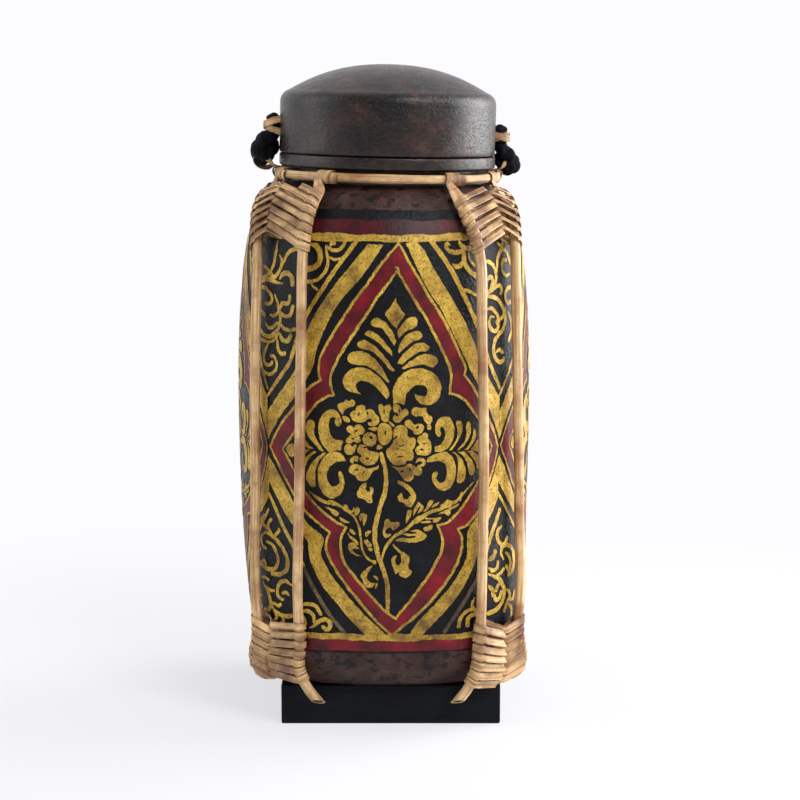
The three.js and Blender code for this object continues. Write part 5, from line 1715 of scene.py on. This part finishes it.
def between_turns(values, at_turn):
    """The value at a part of a turn, from one value for each turn."""
    return lerp(values[int(at_turn)], values[int(at_turn) + 1], at_turn % 1)


def lashing_path(tie, leave):
    """One figure of eight: bend or arm, its side, and its place across and outward."""
    path = []
    for sign in (-1, 1):
        for k in range(BEND_STEPS):
            turn = lerp(-leave, -2 * math.pi + leave, k / (BEND_STEPS - 1))
            path.append((False, sign, -sign * math.cos(turn), math.sin(turn)))
        for k in range(1, ARM_STEPS + 1):
            side = 1 - 2 * k / (ARM_STEPS + 1)
            dive = math.tanh(DIVE * (side + OVERLAP - tie.crossing * sign))
            path.append((True, sign, sign * side, dive))
    return path


def lashing(node, rod_a, rod_b, start, shift, tie, seed):
    bend = ROD_THICKNESS / 2 + STRIP_FIT + tie.thickness / 2
    _, half, _, _, _ = frame_at(rod_a, rod_b, start, shift, 0)
    leave = math.pi / 2 - math.asin(bend / half)
    reach = half + bend * math.pi / 2
    path = lashing_path(tie, leave)
    chance = random.Random(seed)
    lifts = [chance.uniform(-UNEVEN_LIFT, UNEVEN_LIFT) for _ in range(tie.turns + 2)]
    widths = [chance.uniform(*UNEVEN_WIDTH) for _ in range(tie.turns + 2)]
    stations = []
    for i in range(tie.turns * len(path) + 1):
        is_arm, sign, first, second = path[i % len(path)]
        at_turn = i / len(path)
        level = start + tie.pitch * at_turn + between_turns(lifts, at_turn)
        if is_arm:
            run = first * (half - bend * math.cos(leave))
            share = clamp(run / half, -1, 1)
        else:
            run = sign * (reach - bend * abs(math.asin(clamp(second, -1, 1))))
            share = sign
        lifted = level + tie.lift(run, half, reach)
        middle, _, along, out, up = frame_at(rod_a, rod_b, lifted, shift, share)
        if is_arm:
            at = middle + out * (bend * math.sin(leave) * second)
            facing = out
            tilt = tie.tilt * (smoothstep(second, *TILT_TURNS) * 2 - 1)
        else:
            at = middle + along * (first * bend) + out * (second * bend)
            facing = -out if second < BEHIND else (along * first + out * second).normalized()
            tilt = tie.tilt * BEND_TILT
        across = up * math.cos(tilt) - facing * math.sin(tilt)
        width = tie.width * between_turns(widths, at_turn)
        stations.append(Station(at, across, width, tie.thickness, LASHING_POWER))
    strip = Builder()
    sweep(strip, stations, STRIP_SIDES, seed * LASHING_SEED_SCALE)
    made = strip.make(f"cane_{node}", "box", RATTAN_STRIP)
    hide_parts(node)


for i, (face, _, _) in enumerate(FACES):
    after = FACES[(i + 1) % 4][0]
    rod_a = rods[2 * i + 1][1]
    rod_b = rods[(2 * i + 2) % 8][1]
    corner = f"{after}_{face}" if i % 2 else f"{face}_{after}"
    top, bottom = [Tie(values, i % 2 == 0) for values in TIES_AT[i]]
    top_start = rod_a.length - TOP_LASHING_BELOW - top.turns * top.pitch
    seed = FIRST_LASHING_SEED + i
    lashing(f"top_lashing_{corner}", rod_a, rod_b, top_start, rod_b.length - rod_a.length, top, seed)
    start_a, start_b = [rod.length_at_height(FOOT_Z + BOTTOM_LASHING_ABOVE) for rod in (rod_a, rod_b)]
    lashing(f"bottom_lashing_{corner}", rod_a, rod_b, start_a, start_b - start_a, bottom, seed)


# Ties: eyelets of strip through the lid, loops on the hoop, and short black cords between them

# Side, azimuth and height of the eyelet over the lid's rim
TIES = [("left", 184, 11.6), ("right", 7, 8.4)]
CORD_THICKNESS = 5.4
CORD_OUT = LID_RADIUS + CORD_THICKNESS / 2 + 0.35
CORD_DROP = 3.5
KNOT_RISE = 5.6
KNOT_AT = 2.4
KNOT_REACH = 2.1
BRAID_DEPTH = 0.22
BRAID_PITCH = 5.4
BRAID_PHASE = 1.6
CORD_STEPS = 260
CORD_SIDES = 36
CORD_END = 0.02
TOP_FULLNESS = 0.84
CORD_FULLNESS = {"left": 1.1, "right": 1.02}
FULL_BETWEEN = (7, 12)

# How far the cord's last points stand over the middle of its loop
THROUGH_LOOP = (3.4, 0.6, -1.4)

# The way back and forth of each cord: outward, share of the way down, and aside
CORD_SWINGS = {
    "right": [
        (1.2, 0.22, -1.4), (4.4, 0.46, -2.2), (5.8, 0.8, -1.8), (2.8, 0.86, 0.2), (0.6, 0.6, 1.6),
        (2.4, 0.42, 3.2), (5.8, 0.66, 2.2),
    ],
    "left": [
        (2.2, 0.1, 1.6), (5.6, 0.3, 2.4), (6.3, 0.56, 1.8), (3.0, 0.62, 0.6), (0.7, 0.46, -0.8),
        (1.6, 0.24, -2.6), (4.8, 0.34, -2.8), (6.4, 0.58, -1.2),
    ],
}
EYELET_THICKNESS = 1.0
EYELET_FIT = 0.3
EYELET_STRIP = (3.1, 0.62, LASHING_POWER)
EYELET_STEPS = 14

# The two strips of an eyelet: height apart in the wall, slope, and how much wider the strip runs
EYELET_BANDS = [(-1.7, -0.3, 0.0), (1.9, 0.26, 0.6)]
EYELET_INSIDE = LID_RADIUS - 1.6
EYELET_WALL = LID_RADIUS - 0.2
LOOP_STRIP = (2.9, 0.75, STRIP_POWER)
LOOP_FIT = 0.4
LOOP_CORD_FIT = 0.25
LOOP_ROLL_OUT = (1, 6.5)
LOOP_WRAP_STEPS = 18
LOOP_BEND_STEPS = 16
LOOP_WRAP_WIDTH = 3.0
LOOP_REACH = 7.4
LOOP_SLOPE = 0.32
LOOP_ROLL = math.radians(52)
LOOP_Z = HOOP_Z + HOOP_THICKNESS / 2 + 0.55

# How far a loop's strip has turned from flat to upright, at distances from the hoop
LOOP_TWISTS = [(0, 0.0), (1.2, 0.08), (2.2, 0.25), (3.3, 0.52), (4.4, 0.8), (6.2, 0.95)]


def eyelet(side, azimuth, rise):
    bend = CORD_THICKNESS / 2 + EYELET_FIT + EYELET_THICKNESS / 2
    strip = Builder()
    for k, (spread, slope, extra) in enumerate(EYELET_BANDS):
        reach = bend + extra
        spots = [(EYELET_INSIDE, -1.0), (EYELET_WALL, -1.0)]
        for i in range(EYELET_STEPS + 1):
            turn = -math.pi / 2 + math.pi * i / EYELET_STEPS
            spots.append((CORD_OUT + reach * math.cos(turn), math.sin(turn)))
        spots += [(EYELET_WALL, 1.0), (EYELET_INSIDE, 1.0)]
        stations = []
        for out, share in spots:
            aside = share * reach
            lift = spread * (1 - smoothstep(out, LID_RADIUS, CORD_OUT + bend))
            at = on_face(azimuth, aside, out, RIM_Z + rise + lift + slope * aside)
            stations.append(Station(at, Vector((0, 0, 1)), *EYELET_STRIP))
        sweep(strip, stations, STRIP_SIDES, 5.0 + 9 * k)
    made = strip.make(f"cane_eyelet_{side}", "lid", RATTAN_STRIP)
    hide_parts(f"eyelet_{side}")


def front_side(azimuth):
    """1 where the way round the axis runs toward the front of the box, or else -1."""
    return 1 if math.cos(math.radians(azimuth)) < 0 else -1


def half_loop(loop_bend):
    """Half of a loop: out from the hoop, aside, up, and how far its strip has turned upright."""
    bend = HOOP_THICKNESS / 2 + WRAP_GAP + LOOP_FIT
    half = []
    for i in range(LOOP_WRAP_STEPS):
        turn = math.pi / 2 + 2 * math.pi * (LOOP_WRAP_STEPS - i) / LOOP_WRAP_STEPS
        angle = (loop_bend + LOOP_WRAP_WIDTH * (1 - i / LOOP_WRAP_STEPS)) / HOOP_RADIUS
        at = polar(HOOP_RADIUS + bend * math.cos(turn), angle, bend * math.sin(turn) - bend)
        half.append((at.x - HOOP_RADIUS, at.y, at.z, 0.0))
    half += [(out, loop_bend, 0.0, twist) for out, twist in LOOP_TWISTS]
    for i in range(LOOP_BEND_STEPS // 2 + 1):
        turn = math.pi / 2 - math.pi * i / LOOP_BEND_STEPS
        half.append((LOOP_REACH + loop_bend * math.cos(turn), loop_bend * math.sin(turn), 0.0, 1.0))
    return half


def cord_loop(side, azimuth):
    front = front_side(azimuth)
    half = half_loop(CORD_THICKNESS / 2 + LOOP_CORD_FIT + LOOP_FIT)
    mirrored = [(out, -aside, up, twist) for out, aside, up, twist in half[:-1][::-1]]
    stations = []
    for out, aside, up, twist in half + mirrored:
        roll = LOOP_ROLL * smoothstep(out, *LOOP_ROLL_OUT)
        z = LOOP_Z + up + LOOP_SLOPE * max(out, 0) + front * aside * math.sin(roll)
        at = on_face(azimuth, aside * math.cos(roll), HOOP_RADIUS + out, z)
        flat = math.copysign(1 - twist, aside) - twist * front * math.sin(roll)
        stations.append(Station(at, on_face(azimuth, flat, 0, twist * math.cos(roll)), *LOOP_STRIP))
    strip = Builder()
    sweep(strip, stations, STRIP_SIDES, 3.0)
    made = strip.make(f"cane_cord_loop_{side}", "box", RATTAN_STRIP)
    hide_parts(f"cord_loop_{side}")


def cord_route(side, azimuth, eyelet_z, leave_z):
    """The cord's way from its knot through the eyelet, back and forth in its bunch, and through the loop."""
    loop_z = HOOP_Z + HOOP_THICKNESS / 2
    route = [
        on_face(azimuth, 0, CORD_OUT - 0.6, eyelet_z + KNOT_RISE),
        on_face(azimuth, 0, CORD_OUT, eyelet_z),
        on_face(azimuth, 0, CORD_OUT, leave_z),
    ]
    for out, down, aside in CORD_SWINGS[side]:
        route.append(on_face(azimuth, aside, CORD_OUT + out, lerp(leave_z, loop_z, down)))
    through_loop = on_face(azimuth, -front_side(azimuth) * math.sin(LOOP_ROLL), 0, math.cos(LOOP_ROLL))
    loop_middle = on_face(azimuth, 0, HOOP_RADIUS + LOOP_REACH, LOOP_Z + LOOP_SLOPE * LOOP_REACH)
    return route + [loop_middle + through_loop * along for along in THROUGH_LOOP]


def cord(side, azimuth, rise):
    eyelet_z = RIM_Z + rise
    leave_z = eyelet_z - CORD_DROP
    curve = Curve(cord_route(side, azimuth, eyelet_z, leave_z))
    rows = []
    for i in range(CORD_STEPS + 1):
        length = curve.length * i / CORD_STEPS
        at = curve.at(length)
        along = curve.tangent(length)
        wide = on_face(azimuth, 1, 0, 0)
        wide = (wide - along * wide.dot(along)).normalized()
        thick = along.cross(wide)
        knot = math.exp(-(((length - KNOT_AT) / KNOT_REACH) ** 2)) * BRAID_DEPTH
        fullness = lerp(TOP_FULLNESS, CORD_FULLNESS[side], smoothstep(length, *FULL_BETWEEN))
        from_end = clamp(min(length, curve.length - length) / (CORD_THICKNESS / 2))
        ends = max(math.sqrt(clamp(1 - (1 - from_end) ** 2)), CORD_END)
        wave = length * 2 * math.pi / BRAID_PITCH
        row = []
        for k in range(CORD_SIDES + 1):
            turn = 2 * math.pi * k / CORD_SIDES
            bump = max(math.cos(2 * turn + wave), math.cos(2 * turn - wave + BRAID_PHASE))
            radius = CORD_THICKNESS / 2 * (fullness + BRAID_DEPTH * bump + knot) * ends
            around = wide * (radius * math.cos(turn)) + thick * (radius * math.sin(turn))
            row.append((at + around, (length, turn * CORD_THICKNESS / 2)))
        rows.append(row)
    braid = Builder()
    braid.grid(rows)
    made = braid.make(f"braided_cord_{side}", None, CORD_COTTON)
    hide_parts(f"cord_{side}")
    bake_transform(made)


for side, azimuth, rise in TIES:
    eyelet(side, azimuth, rise)
    cord_loop(side, azimuth)
    cord(side, azimuth, rise)


# Camera, light and floor, in metres and watts

BACKDROP_WHITE = (0.975, 0.975, 1.0, 1)
FILL_COLOUR = (0.92, 0.96, 1, 1)
ROOM_REFLECTION = 0.1
FILL_STRENGTH = 0.42
FLOOR_COLOUR = (0.8, 0.795, 0.805, 1)
FLOOR_WHITE = 0.65
FLOOR_FADE = (0.07, 0.44)
FLOOR_REACH = 6

# Name, place, height of the point on the axis that it looks at, size and power
LIGHTS = [
    ("window", (1.02, 0.32, 0.42), 0.17, (0.8, 0.95), 21),
    ("front", (0.75, -0.95, 1.2), 0.15, (0.6, 0.5), 15),
    ("left", (-1.1, -0.2, 0.6), 0.15, (0.5, 0.9), 4.5),
]


def make_camera():
    data = bpy.data.cameras.new("camera")
    data.sensor_width = SENSOR
    data.lens = FOCAL_PIXELS / PICTURE_SIDE * SENSOR
    data.clip_start = 0.01
    data.clip_end = 20
    made = link("camera", data)
    made.location = CAMERA_PLACE
    made.rotation_euler = (math.radians(CAMERA_PITCH), 0, 0)
    bpy.context.scene.camera = made


def area_light(name, place, target_z, size, power):
    data = bpy.data.lights.new(name, "AREA")
    data.shape = "RECTANGLE"
    data.size, data.size_y = size
    data.energy = power
    made = link(name, data)
    made.location = place
    made.rotation_euler = (Vector((0, 0, target_z)) - Vector(place)).to_track_quat("-Z", "Y").to_euler()


def make_world():
    """A white backdrop to the eye, a soft fill for the surfaces, and a dimmer room for reflections."""
    world = bpy.data.worlds.new("studio")
    bpy.context.scene.world = world
    world.use_nodes = True
    sky = Nodes(world.node_tree)
    ray = sky.node("ShaderNodeLightPath").outputs
    direction = sky.node("ShaderNodeTexCoord").outputs["Generated"]
    values = {"Value": sky.part(direction, 1), "From Min": -0.45, "From Max": 0.15, "To Min": ROOM_REFLECTION}
    behind = sky.node("ShaderNodeMapRange", values).outputs[0]
    reflected = sky.math("MULTIPLY", ray["Is Glossy Ray"], behind)
    seen = sky.math("MAXIMUM", ray["Is Camera Ray"], ray["Is Transmission Ray"])
    shown = sky.math("MAXIMUM", seen, reflected)
    white = sky.node("ShaderNodeBackground", {"Color": BACKDROP_WHITE, "Strength": shown})
    diffuse = sky.math("MULTIPLY", ray["Is Diffuse Ray"], FILL_STRENGTH)
    fill = sky.node("ShaderNodeBackground", {"Color": FILL_COLOUR, "Strength": diffuse})
    total = sky.node("ShaderNodeAddShader", {0: white.outputs[0], 1: fill.outputs[0]})
    sky.node("ShaderNodeOutputWorld", {0: total.outputs[0]})


def make_floor():
    """Pale ground that keeps the shadow near the box and turns into the white of the backdrop farther out."""
    mesh = bpy.data.meshes.new("floor")
    corners = [(x * FLOOR_REACH, y * FLOOR_REACH, 0) for x, y in ((-1, -1), (1, -1), (1, 1), (-1, 1))]
    mesh.from_pydata(corners, [], [(0, 1, 2, 3)])
    floor = link("floor", mesh)
    paint = Paint("floor_white")
    paint.set(Base_Color=FLOOR_COLOUR, Roughness=0.8, Specular_IOR_Level=0.1)
    distance = paint.node("ShaderNodeVectorMath", {0: paint.place}, operation="LENGTH").outputs["Value"]
    values = {"Value": distance, "From Min": FLOOR_FADE[0], "From Max": FLOOR_FADE[1], "To Min": FLOOR_WHITE}
    far = paint.node("ShaderNodeMapRange", values, interpolation_type="SMOOTHSTEP").outputs[0]
    ray = paint.node("ShaderNodeLightPath").outputs
    seen = paint.math("MAXIMUM", ray["Is Camera Ray"], ray["Is Glossy Ray"])
    seen = paint.math("MAXIMUM", seen, ray["Is Transmission Ray"])
    white = paint.node("ShaderNodeEmission", {"Color": BACKDROP_WHITE, "Strength": 1.0})
    shaders = {0: paint.math("MULTIPLY", far, seen), 1: paint.shader.outputs[0], 2: white.outputs[0]}
    paint.put(paint.output, 0, paint.node("ShaderNodeMixShader", shaders).outputs[0])
    mesh.materials.append(paint.material)


make_camera()
make_world()
make_floor()
for light_values in LIGHTS:
    area_light(*light_values)

bpy.context.scene.view_settings.view_transform = "Standard"
